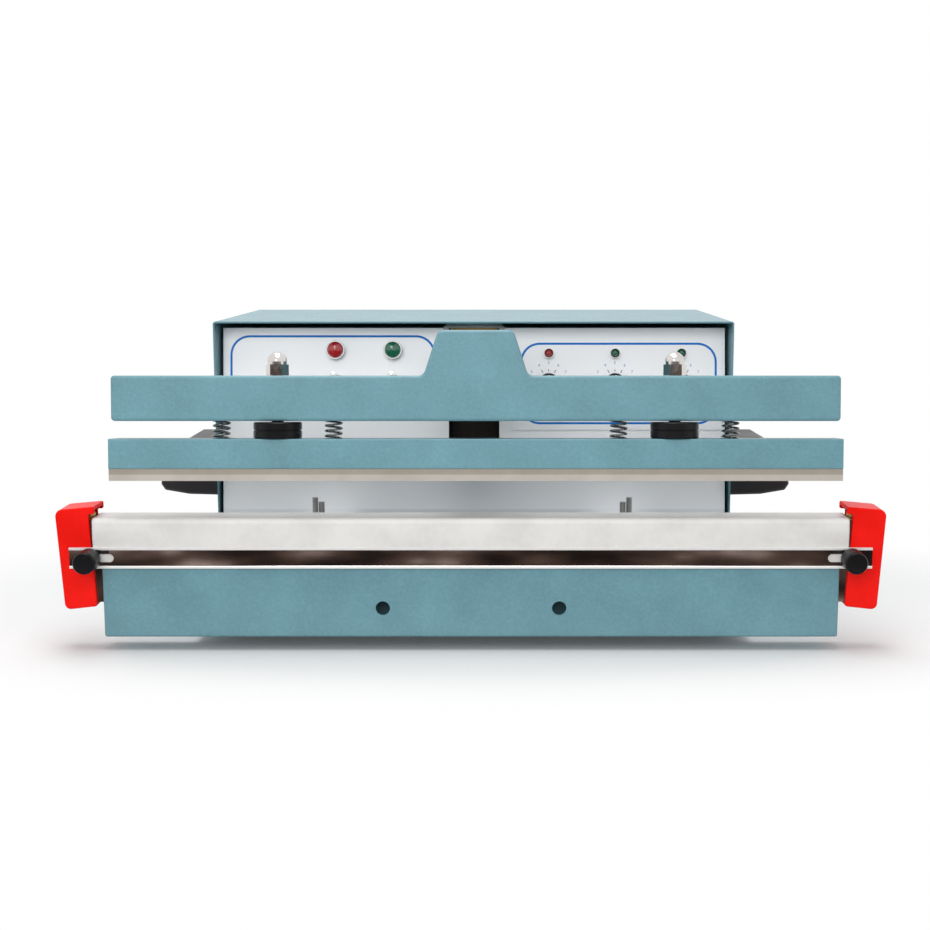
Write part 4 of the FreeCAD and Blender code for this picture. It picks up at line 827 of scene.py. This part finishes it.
@dataclass
class SealingCloth:
    """The cloth that is stretched over the sealing bar and held behind the bright strip."""

    corner: float = 3.85 * MM
    thickness: float = 0.3 * MM
    ripple: float = 0.75 * MM
    strip_share: float = 0.42
    free_end: float = 1.02
    ease: float = 0.2
    across: int = 420
    around: int = 60

    def build(self) -> Thing:
        """Fold a flat grid round the bar, with soft pulls between the ends.

        Returns:
            The cloth.
        """
        low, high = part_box("ptfe_cloth")
        rear_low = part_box("rear_cloth_strip")[0].z
        half = self.thickness / 2
        front, back, top = low.y + half, high.y - half, high.z - half
        arc = self.corner * math.pi / 2
        spring_line = top - self.corner
        flat_top = back - front - 2 * self.corner
        legs = [spring_line - low.z, arc, flat_top, arc, spring_line - rear_low]
        length = sum(legs)
        width = high.x - low.x
        mesh = Mesh("sealing_cloth")
        bmesh.ops.create_grid(mesh.bm, x_segments=self.across, y_segments=self.around, size=0.5)
        weave = mesh.bm.loops.layers.uv.new("Weave")
        for face in mesh.bm.faces:
            for loop in face.loops:
                loop[weave].uv = (loop.vert.co.x * width, loop.vert.co.y * length)
        for vert in mesh.bm.verts:
            x = vert.co.x * width
            run = (vert.co.y + 0.5) * length
            point, outward, pull = self.fold(run, legs, front, back, top, low.z)
            stand = pull * self.pulls(x, run, width)
            vert.co = Vector((x, *point)) + Vector((0, *outward)) * stand
        cloth = mesh.piece(Body.MACHINE, [CLOTH], sharp=80.0)
        skin = cloth.modifiers.new("Thickness", "SOLIDIFY")
        skin.thickness = self.thickness
        skin.offset = 0.0
        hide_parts("ptfe_cloth")
        return cloth

    def fold(
        self, run: float, legs: Sequence[float], front: float, back: float, top: float, low: float
    ) -> tuple[tuple[float, float], tuple[float, float], float]:
        """Where a point of the flat cloth comes to lie.

        Args:
            run: Its distance from the front hem.
            legs: Lengths of the front leg, corner, top, corner and rear leg.
            front: The front leg's Y.
            back: The rear leg's Y.
            top: The top's Z.
            low: The front hem's Z.

        Returns:
            Its (y, z), the outward direction there, and how far it may stand off.
        """
        corner = self.corner
        if run < legs[0]:
            rise = run / legs[0]
            free = held((rise - self.strip_share) / self.ease) * held((self.free_end - rise) / self.ease)
            return (front, low + run), (-1.0, 0.0), free
        run -= legs[0]
        if run < legs[1]:
            angle = run / corner
            spot = (front + corner * (1 - math.cos(angle)), top - corner * (1 - math.sin(angle)))
            return spot, (-math.cos(angle), math.sin(angle)), 0.1
        run -= legs[1]
        if run < legs[2]:
            return (front + corner + run, top), (0.0, 1.0), -0.12
        run -= legs[2]
        if run < legs[3]:
            angle = run / corner
            spot = (back - corner * (1 - math.sin(angle)), top - corner * (1 - math.cos(angle)))
            return spot, (math.sin(angle), math.cos(angle)), 0.0
        run -= legs[3]
        return (back, top - corner - run), (1.0, 0.0), 0.0

    def pulls(self, x: float, run: float, width: float) -> float:
        """Shallow slanting folds, stronger towards the ends.

        Args:
            x: The place along the bar.
            run: The distance from the front hem.
            width: The cloth's length along the bar.

        Returns:
            How far the cloth stands off there.
        """
        end = abs(2 * x / width)
        slant = math.sin(x * 31 + run * 70) * math.sin(x * 11.3 + 1.0)
        drag = math.sin(abs(x) * 58 - run * 120 + 0.6)
        value = 0.5 + 0.32 * slant + 0.3 * drag * end**3
        return self.ripple * max(0.0, value)


@dataclass
class CoilSpring:
    """A wound wire with a flat half turn at each end."""

    name: str
    node: str
    bodies: tuple[Body, Body]
    ends: tuple[Vector, Vector]
    radius: float
    wire: float
    turns: float
    centres: Sequence[Matrix]
    height: float
    steps: int = 20
    wire_sides: int = 10
    flat_end: float = 0.5

    def build(self) -> Thing:
        """Wind each coil with spins, set it on its seat, and stand in for the CAD coils.

        Returns:
            The piece that holds all the coils.
        """
        mesh = Mesh(self.name)
        for centre in self.centres:
            before = set(mesh.bm.verts)
            self.wind(mesh.bm)
            mesh.move(centre, mesh.since(before))
        coils = mesh.piece(None, [SPRING_WIRE], sharp=75.0)
        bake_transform(coils)
        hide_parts(self.node)
        return coils

    def wind(self, bm: bmesh.types.BMesh) -> None:
        """Wind one coil from height 0 upwards, about Z.

        Args:
            bm: The mesh that it is added to.
        """
        disc = bmesh.ops.create_circle(bm, cap_ends=True, segments=self.wire_sides, radius=self.wire / 2)
        ring = disc["verts"]
        turn = Matrix.Translation((self.radius, 0, self.wire / 2)) @ Matrix.Rotation(math.pi / 2, 4, "X")
        bmesh.ops.transform(bm, matrix=turn, verts=ring)
        end = list({face for vert in ring for face in vert.link_faces})
        rise = self.height - self.wire
        for share, climb in ((self.flat_end, 0.0), (self.turns, rise), (self.flat_end, 0.0)):
            steps = max(4, round(share * self.steps))
            edges = list({edge for face in end for edge in face.edges})
            verts = list({vert for face in end for vert in face.verts})
            made = bmesh.ops.spin(
                bm,
                geom=verts + edges + end,
                cent=(0, 0, 0),
                axis=(0, 0, 1),
                dvec=(0, 0, climb / steps),
                angle=2 * math.pi * share,
                steps=steps,
            )
            self.drop_inner(bm, end)
            end = [item for item in made["geom_last"] if isinstance(item, bmesh.types.BMFace)]

    def drop_inner(self, bm: bmesh.types.BMesh, faces: Sequence[bmesh.types.BMFace]) -> None:
        """Remove the disc that a further spin has closed over, but keep the coil's first end.

        Args:
            bm: The coil's mesh.
            faces: The faces that the spin started from.
        """
        inner = []
        for face in faces:
            if face.is_valid and all(len(edge.link_faces) > 2 for edge in face.edges):
                inner.append(face)
        if inner:
            bmesh.ops.delete(bm, geom=inner, context="FACES_ONLY")


@dataclass
class ClampKnobs:
    """Knurled knobs that draw the bright strip against the bar."""

    ribs: int = 44
    rib_depth: float = 0.32 * MM
    face_dish: float = 0.5 * MM
    edge: float = 1.0 * MM
    rings: Sequence[float] = (6.0 * MM, 11.0 * MM, 16.0 * MM)
    grip_end: float = 20.5 * MM
    collar_end: float = 26.4 * MM
    collar_radius: float = 4.6 * MM
    screw_radius: float = 2.5 * MM
    tip_radius: float = 1.9 * MM

    def build(self) -> list[Thing]:
        """Spin each knob about its screw and press the knurl into its grip.

        Returns:
            The knobs.
        """
        made = []
        for side in ("left", "right"):
            node = f"clamp_knob_{side}"
            low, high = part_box(node)
            centre = (low + high) / 2
            radius = (high.x - low.x) / 2
            mesh = Mesh(f"{node}_knurled")
            mesh.spun(self.profile(radius, high.y - low.y), self.ribs * 2)
            self.knurl(mesh.bm, radius)
            turn = Matrix.Translation((centre.x, low.y, centre.z)) @ Matrix.Rotation(-math.pi / 2, 4, "X")
            mesh.move(turn)
            knob = mesh.piece(Body(f"clamp_{side}"), [BLACK_SATIN], sharp=50.0)
            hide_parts(node)
            made.append(knob)
        return made

    def profile(self, radius: float, reach: float) -> list[tuple[float, float]]:
        """The knob's outline, from its face to the tip of its screw.

        Args:
            radius: The grip's radius.
            reach: The whole length.

        Returns:
            Points of (radius, length).
        """
        face = [
            (0.0, self.face_dish),
            (radius * 0.62, self.face_dish * 0.8),
            (radius * 0.76, 0.0),
            (radius * 0.9, 0.0),
            (radius, self.edge),
        ]
        grip = [(radius, ring) for ring in self.rings]
        neck = [
            (radius, self.grip_end - self.edge),
            (radius * 0.9, self.grip_end),
            (self.collar_radius, self.grip_end + 0.6 * MM),
            (self.collar_radius, self.collar_end),
            (self.screw_radius, self.collar_end + 0.4 * MM),
            (self.screw_radius, reach - 0.6 * MM),
            (self.tip_radius, reach),
            (0.0, reach),
        ]
        return face + grip + neck

    def knurl(self, bm: bmesh.types.BMesh, radius: float) -> None:
        """Press every second line of the grip inwards.

        Args:
            bm: The knob's mesh.
            radius: The grip's radius.
        """
        for vert in bm.verts:
            spread = math.hypot(vert.co.x, vert.co.y)
            if spread > radius * 0.97:
                step = round(math.atan2(vert.co.y, vert.co.x) / (math.pi / self.ribs))
                if step % 2:
                    shrink = (spread - self.rib_depth) / spread
                    vert.co.x *= shrink
                    vert.co.y *= shrink


@dataclass(frozen=True)
class BorderLine:
    """Where one printed border runs, across the panel and up its slope."""

    name: str
    left: float
    right: float
    low: float
    high: float
    depth: float


@dataclass
class ControlFace:
    """What is printed or fitted on the sloping panel: borders, dial scales and dial knobs."""

    print_lift: float = 0.06 * MM
    line: float = 2.0 * MM
    border_corner: float = 18.0 * MM
    plate: float = 1.0 * MM
    dials: int = 3
    dial_row: float = 117.0 * MM
    dial_start: float = 69.5 * MM
    dial_pitch: float = 61.6 * MM
    dial_marks: int = 11
    dial_end: float = 140.0
    dial_step: float = 28.0
    tick_start: float = 11.2 * MM
    tick_half: float = 0.3 * MM
    tick_long: float = 3.2 * MM
    tick_short: float = 2.0 * MM
    digit_size: float = 3.6 * MM
    digit_reach: float = 19.2 * MM
    knob_radius: float = 9.5 * MM
    knob_height: float = 14.0 * MM
    knob_gap: float = 0.6 * MM
    knob_steps: int = 96
    flutes: int = 16
    flute_share: float = 0.035
    lean: float = field(init=False)
    fold: Vector = field(init=False)

    def __post_init__(self) -> None:
        """Find the panel's fold from the first dial's joint."""
        axis = Vector(joint("timer_1_turn")["axis"])
        self.lean = math.atan2(-axis.z, axis.y)
        spot = Vector(joint("timer_1_turn")["pos_m"])
        flat = Matrix.Rotation(-self.lean, 4, "X") @ Vector((self.dial_start, -self.plate, self.dial_row))
        self.fold = spot - flat

    def frame(self) -> Matrix:
        """The panel's frame: X across, -Y outwards, Z up the slope."""
        return Matrix.Translation(self.fold) @ Matrix.Rotation(-self.lean, 4, "X")

    def build(self) -> list[Thing]:
        """Make the borders, scales and knobs.

        Returns:
            The new pieces.
        """
        left = BorderLine("panel_border_left", -227 * MM, -36 * MM, 84 * MM, 162 * MM, 0.0)
        right = BorderLine("panel_border_right", 43 * MM, 226 * MM, 79 * MM, 155 * MM, self.plate)
        made = [self.border(left), self.border(right)]
        for index in range(self.dials):
            made.append(self.scale(index))
            made.append(self.knob(index))
        return made

    def across(self, index: int) -> float:
        """How far a dial stands across the panel, counted from the left."""
        return self.dial_start + index * self.dial_pitch

    def mark_angle(self, count: int) -> float:
        """The angle of one of a scale's marks, from straight up."""
        return math.radians(self.dial_end - self.dial_step * count)

    def border(self, run: BorderLine) -> Thing:
        """A printed line round one half of the panel.

        Args:
            run: Where it runs; its depth is how far the printed face stands off the panel.

        Returns:
            The border.
        """
        mesh = Mesh(run.name)
        made = bmesh.ops.create_grid(mesh.bm, x_segments=1, y_segments=1, size=0.5)["verts"]
        bmesh.ops.scale(mesh.bm, vec=(run.right - run.left, run.high - run.low, 1), verts=made)
        bmesh.ops.bevel(
            mesh.bm,
            geom=mesh.bm.verts[:],
            offset=self.border_corner,
            affect="VERTICES",
            segments=10,
            profile=0.5,
            material=-1,
        )
        inner = mesh.bm.faces[:]
        bmesh.ops.inset_region(
            mesh.bm, faces=inner, thickness=self.line, use_even_offset=True, use_boundary=True
        )
        bmesh.ops.delete(mesh.bm, geom=inner, context="FACES")
        bmesh.ops.solidify(mesh.bm, geom=mesh.bm.faces[:], thickness=self.print_lift)
        stand = Matrix.Rotation(math.pi / 2, 4, "X")
        x, z = (run.left + run.right) / 2, (run.low + run.high) / 2
        middle = Matrix.Translation((x, -run.depth - self.print_lift, z))
        mesh.move(self.frame() @ middle @ stand)
        ring = mesh.piece(Body.MACHINE, [BLUE_INK], smooth=False)
        return ring

    def scale(self, index: int) -> Thing:
        """The ticks and numbers round one dial.

        Args:
            index: Which dial, from the left.

        Returns:
            The printed scale.
        """
        mesh = Mesh(f"dial_scale_{index + 1}")
        self.ticks(mesh)
        for count in range(self.dial_marks):
            self.digit(mesh, str(count), self.mark_angle(count))
        mesh.move(self.frame() @ Matrix.Translation((self.across(index), -self.plate, self.dial_row)))
        printed = mesh.piece(Body.MACHINE, [DARK_INK, BLUE_INK], smooth=False)
        return printed

    def ticks(self, mesh: Mesh) -> None:
        """Short lines from one end of the dial's travel to the other, every second one longer.

        Args:
            mesh: The scale's mesh.
        """
        low = (-self.tick_half, -self.print_lift, self.tick_start)
        for count in range(self.dial_marks):
            reach = self.tick_long if count % 2 == 0 else self.tick_short
            bar = mesh.block(low, (self.tick_half, 0.0, self.tick_start + reach))
            mesh.move(Matrix.Rotation(self.mark_angle(count), 4, "Y").inverted(), bar)

    def digit(self, mesh: Mesh, text: str, angle: float) -> None:
        """Add one number to a scale.

        Args:
            mesh: The scale's mesh.
            text: The number.
            angle: Its place round the dial, from straight up.
        """
        curve = bpy.data.curves.new("digit", "FONT")
        curve.body = text
        curve.size = self.digit_size
        curve.align_x = "CENTER"
        curve.align_y = "CENTER"
        thing = bpy.data.objects.new("digit", curve)
        flat = bpy.data.meshes.new_from_object(thing)
        before = set(mesh.bm.verts)
        mesh.bm.from_mesh(flat)
        faces = [face for face in mesh.bm.faces if face.verts[0] not in before]
        bmesh.ops.solidify(mesh.bm, geom=faces, thickness=self.print_lift)
        fresh = mesh.since(before)
        x, z = -math.sin(angle) * self.digit_reach, math.cos(angle) * self.digit_reach
        spot = Matrix.Translation((x, -self.print_lift, z))
        mesh.move(spot @ Matrix.Rotation(math.pi / 2, 4, "X"), fresh)
        mesh.paint(fresh, 1)
        bpy.data.objects.remove(thing)
        bpy.data.curves.remove(curve)
        bpy.data.meshes.remove(flat)

    def knob(self, index: int) -> Thing:
        """A fluted dial knob with a white line on its face.

        Args:
            index: Which dial, from the left.

        Returns:
            The knob.
        """
        base, height = self.knob_radius, self.knob_height
        grip = base * 0.8
        profile = [
            (3.05 * MM, 3.0 * MM),
            (3.9 * MM, 3.0 * MM),
            (3.9 * MM, 0.0),
            (base - 0.3 * MM, 0.0),
            (base, 0.5 * MM),
            (base, 2.4 * MM),
            (base - 0.8 * MM, 3.2 * MM),
            (grip, 4.0 * MM),
            (grip * 0.98, 8.0 * MM),
            (grip * 0.96, height - 0.9 * MM),
            (grip * 0.86, height),
            (grip * 0.6, height),
            (grip * 0.5, height - 0.25 * MM),
            (0.0, height - 0.25 * MM),
        ]
        mesh = Mesh(f"timer_knob_{index + 1}_fluted")
        mesh.spun(profile, self.knob_steps)
        for vert in mesh.bm.verts:
            spread = math.hypot(vert.co.x, vert.co.y)
            if spread > grip * 0.8 and 3.5 * MM < vert.co.z < height - 0.5 * MM:
                wave = math.cos(self.flutes * math.atan2(vert.co.y, vert.co.x))
                press = 1 - self.flute_share * max(0.0, wave)
                vert.co.x *= press
                vert.co.y *= press
        line_low = (-0.6 * MM, 1.0 * MM, height - 0.3 * MM)
        line_high = (0.6 * MM, grip * 0.9, height + 0.25 * MM)
        mesh.paint(mesh.block(line_low, line_high, 0.1 * MM), 1)
        seat = Matrix.Translation((self.across(index), -self.plate - self.knob_gap, self.dial_row))
        mesh.move(self.frame() @ seat @ Matrix.Rotation(math.pi / 2, 4, "X"))
        knob = mesh.piece(Body(f"timer_{index + 1}"), [BLACK, WHITE_INK], sharp=40.0)
        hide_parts(f"timer_knob_{index + 1}")
        return knob


@dataclass
class CaseScrews:
    """Socket-head screws that hold the cover and the rear panel."""

    radius: float = 4.0 * MM
    height: float = 2.2 * MM
    socket: float = 1.8 * MM
    steps: int = 24
    from_low: float = 10.0 * MM
    from_top: float = 12.0 * MM
    along_side: Sequence[float] = (0.12, 0.5, 0.88)
    across_back: Sequence[float] = (-0.44, 0.0, 0.44)

    def build(self) -> Thing:
        """Set screws along the cover's lower edges and round the rear panel.

        Returns:
            All the screws as one piece.
        """
        low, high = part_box("cabinet_cover")
        mesh = Mesh("case_screws")
        for side in (-1, 1):
            turn = Matrix.Rotation(side * math.pi / 2, 4, "Y")
            for share in self.along_side:
                y = low.y + (high.y - low.y) * share
                self.head(mesh, Matrix.Translation((side * high.x, y, low.z + self.from_low)) @ turn)
        for share in self.across_back:
            for z in (low.z + self.from_low, high.z - self.from_top):
                spot = Matrix.Translation((share * (high.x - low.x), high.y, z))
                self.head(mesh, spot @ Matrix.Rotation(-math.pi / 2, 4, "X"))
        screws = mesh.piece(Body.MACHINE, [ZINC], sharp=35.0)
        return screws

    def head(self, mesh: Mesh, place: Matrix) -> None:
        """One domed head with a six-sided socket, standing up Z before it is placed.

        Args:
            mesh: The mesh of all the screws.
            place: Where the head goes.
        """
        profile = [
            (self.radius, 0.0),
            (self.radius, self.height * 0.35),
            (self.radius * 0.86, self.height * 0.78),
            (self.radius * 0.62, self.height),
            (self.socket * 1.2, self.height),
            (self.socket, self.height * 0.9),
            (self.socket, self.height * 0.3),
            (0.0, self.height * 0.2),
        ]
        made = mesh.spun(profile, self.steps)
        for vert in made:
            spread = math.hypot(vert.co.x, vert.co.y)
            if 0 < spread <= self.socket * 1.01:
                angle = math.atan2(vert.co.y, vert.co.x) % (math.pi / 3) - math.pi / 6
                reach = self.socket * math.cos(math.pi / 6) / math.cos(angle) / spread
                vert.co.x *= reach
                vert.co.y *= reach
        mesh.move(place, made)


# Stage, light and camera


@dataclass(frozen=True)
class Softbox:
    """A rectangular lamp that points at the machine."""

    name: str
    spot: tuple[float, float, float]
    aim: tuple[float, float, float]
    width: float
    depth: float
    power: float

    def build(self) -> Thing:
        """Hang the lamp.

        Returns:
            The lamp.
        """
        light = bpy.data.lights.new(self.name, "AREA")
        light.shape = "RECTANGLE"
        light.size = self.width
        light.size_y = self.depth
        light.energy = self.power
        thing = linked(self.name, light)
        thing.location = self.spot
        thing.rotation_euler = (Vector(self.aim) - Vector(self.spot)).to_track_quat("-Z", "Y").to_euler()
        return thing


@dataclass
class Studio:
    """A white table with soft light from above, and the photograph's camera."""

    eye_back: float = 1185.9 * MM
    eye_height: float = 338.4 * MM
    tilt: float = math.radians(8.62)
    focal_px: float = 1451.2
    image_px: float = 930.0
    eye_side: float = 26.0 * MM
    shift_px: float = 37.0
    floor_half: float = 6.0
    oval: Sequence[float] = (0.55, 1.0, 1.0)
    shadow_end: float = 0.25
    white_start: float = 0.36
    glow: float = 0.05
    fill: float = 0.58
    board_near: float = -0.3
    board_far: float = -2.6
    board_lift: float = 0.003
    board_top: float = 0.6

    def build(self) -> None:
        """Set up the floor, world, lamps, camera and view."""
        table = self.floor()
        near, far, lift, top = self.board_near, self.board_far, self.board_lift, self.board_top
        self.dark_board("floor_board", [(-2, near, lift), (2, near, lift), (2, far, lift), (-2, far, lift)])
        self.dark_board("room_board", [(-3, far, 0), (3, far, 0), (3, far, top), (-3, far, top)])
        self.world()
        Softbox("top_softbox", (-0.1, -0.12, 1.6), (0.0, -0.1, 0.1), 1.6, 0.8, 15.0).build()
        front = Softbox("front_softbox", (-0.3, -2.1, 1.05), (0.0, -0.1, 0.18), 1.7, 1.2, 25.0).build()
        front.visible_glossy = False
        self.spare(front, table)
        Softbox("glint", (-0.35, -1.7, 1.0), (0.0, -0.1, 0.2), 0.22, 0.22, 0.8).build()
        self.camera()
        view = bpy.context.scene.view_settings
        view.view_transform = "Standard"

    def spare(self, lamp: Thing, thing: Thing) -> None:
        """Keep one lamp's light off one thing.

        Args:
            lamp: The lamp.
            thing: What it doesn't light.
        """
        left_out = bpy.data.collections.new(f"unlit by {lamp.name}")
        left_out.objects.link(thing)
        lamp.light_linking.receiver_collection = left_out
        left_out.collection_objects[0].light_linking.link_state = "EXCLUDE"

    def floor(self) -> Thing:
        """A wide pale floor that stays white to the camera and keeps the shadow.

        Returns:
            The floor.
        """
        shader = Shader("white table")
        seen = shader.looks()
        shader.principled_inputs(
            Base_Color=(0.9, 0.9, 0.9),
            Roughness=0.9,
            Specular_IOR_Level=0.0,
            Emission_Color=(1.0, 1.0, 1.0),
            Emission_Strength=seen * self.glow,
        )
        spot = shader.place(stretch=self.oval)
        away = shader.node("ShaderNodeVectorMath", {"operation": "LENGTH"}, {0: spot}, "Value")
        far = shader.span(away, 0.0, 1.0, self.shadow_end, self.white_start)
        lit = Socket(shader, shader.principled.outputs[0])
        white = shader.node("ShaderNodeEmission", {}, {"Color": (1.0, 1.0, 1.0), "Strength": 1.0})
        shade = shader.node("ShaderNodeMixShader", {}, {0: far * seen, 1: lit, 2: white})
        shader.surface(shade)
        half = self.floor_half
        corners = [(-half, -half, 0), (half, -half, 0), (half, half, 0), (-half, half, 0)]
        return self.flat("floor", corners, shader)

    def flat(self, name: str, corners: Sequence[Sequence[float]], shader: Shader) -> Thing:
        """Add a flat piece of the stage.

        Args:
            name: Its name.
            corners: Its corners, in order.
            shader: Its material.

        Returns:
            The piece.
        """
        data = bpy.data.meshes.new(name)
        data.from_pydata(corners, [], [tuple(range(len(corners)))])
        data.materials.append(shader.material)
        thing = linked(name, data)
        return thing

    def dark_board(self, name: str, corners: Sequence[Sequence[float]]) -> None:
        """A dark board in front of the machine that only reflections see, as the photograph's room.

        Args:
            name: The board's name.
            corners: Its corners, in order.
        """
        shader = Shader(name)
        patch = shader.noise(0.09, 2)
        room = shader.ramp(
            patch,
            (0.4, (0.012, 0.009, 0.008)),
            (0.6, (0.10, 0.062, 0.05)),
            (0.72, (0.42, 0.33, 0.30)),
        )
        dark = shader.node("ShaderNodeEmission", {}, {"Color": room, "Strength": 1.0})
        shader.surface(dark)
        thing = self.flat(name, corners, shader)
        thing.visible_camera = False
        thing.visible_diffuse = False
        thing.visible_transmission = False
        thing.visible_volume_scatter = False
        thing.visible_shadow = False

    def world(self) -> None:
        """White to the camera and in reflections, softer as light."""
        shader = WorldShader("studio")
        shader.feed(shader.background.inputs["Color"], (1.0, 1.0, 1.0))
        shader.feed(shader.background.inputs["Strength"], shader.span(shader.looks(), self.fill, 1.0))

    def camera(self) -> None:
        """The photograph's viewpoint, measured from the sealing bar's front face."""
        data = bpy.data.cameras.new("camera")
        data.sensor_width = 36.0
        data.lens = self.focal_px / self.image_px * data.sensor_width
        data.shift_x = -self.shift_px / self.image_px
        thing = linked("camera", data)
        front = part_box("sealing_bar")[0].y
        thing.location = (self.eye_side, front - self.eye_back, self.eye_height)
        thing.rotation_euler = (math.pi / 2 - self.tilt, 0.0, 0.0)
        bpy.context.scene.camera = thing


def dress_nodes() -> None:
    """Give every CAD node its finish, with the pad's seam at the arm's own tilt."""
    lean = arm_lean()
    pad_depth, sole = 31 * MM, 5.2 * MM
    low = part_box("silicone_pad")[0]
    front_level = low.z + pad_depth * math.sin(lean)
    seam = front_level * math.cos(lean) + sole
    pad = PadSilicone("pad silicone", seam_height=seam, lean=lean, front=low.y)
    finish_node("silicone_pad", pad)
    strip_low, strip_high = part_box("clamp_strip")
    finish_node("clamp_strip", BeadedChrome("beaded chrome strip", low=strip_low.z, high=strip_high.z))
    for finish, nodes in CAD_FINISHES.items():
        for node in nodes:
            finish_node(node, finish)


def springs() -> list[CoilSpring]:
    """Describe the press-bar springs and the return spring, seated where the CAD has them.

    Returns:
        The springs.
    """
    tilt = Matrix.Rotation(-arm_lean(), 4, "X")
    low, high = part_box("bar_springs")
    middle = (low + high) / 2
    height, outer_radius, spread, seat_depth = 20.8 * MM, 7.6 * MM, 93.0 * MM, 2 * MM
    first, last = low.x + outer_radius, high.x - outer_radius
    down = Matrix.Translation((0, 0, -height / 2))
    seats = []
    for x in (first, first + spread, last - spread, last):
        seats.append(Matrix.Translation((x, middle.y, middle.z)) @ tilt @ down)
    reach = tilt @ Vector((0, 0, height / 2 - seat_depth))
    press = CoilSpring(
        name="press_springs_wound",
        node="bar_springs",
        bodies=(Body.PRESS_BAR, Body.ARM),
        ends=(middle - reach, middle + reach),
        radius=6.7 * MM,
        wire=1.8 * MM,
        turns=4.5,
        centres=seats,
        height=height,
    )
    tail_low, tail_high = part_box("return_spring")
    foot = Vector(((tail_low.x + tail_high.x) / 2, (tail_low.y + tail_high.y) / 2, tail_low.z))
    tall = tail_high.z - tail_low.z
    tail = CoilSpring(
        name="return_spring_wound",
        node="return_spring",
        bodies=(Body.MACHINE, Body.ARM),
        ends=(foot, foot + Vector((0, 0, tall))),
        radius=8.3 * MM,
        wire=2.4 * MM,
        turns=27.0,
        centres=[Matrix.Translation(foot)],
        height=tall,
    )
    return [press, tail]


def main() -> None:
    """Build the dressed machine and its studio."""
    logging.basicConfig(level=logging.INFO, format="%(name)s: %(message)s")
    dress_nodes()
    SealingCloth().build()
    for spring in springs():
        spring.build()
    ClampKnobs().build()
    ControlFace().build()
    CaseScrews().build()
    Studio().build()


if __name__ == "__main__":
    main()
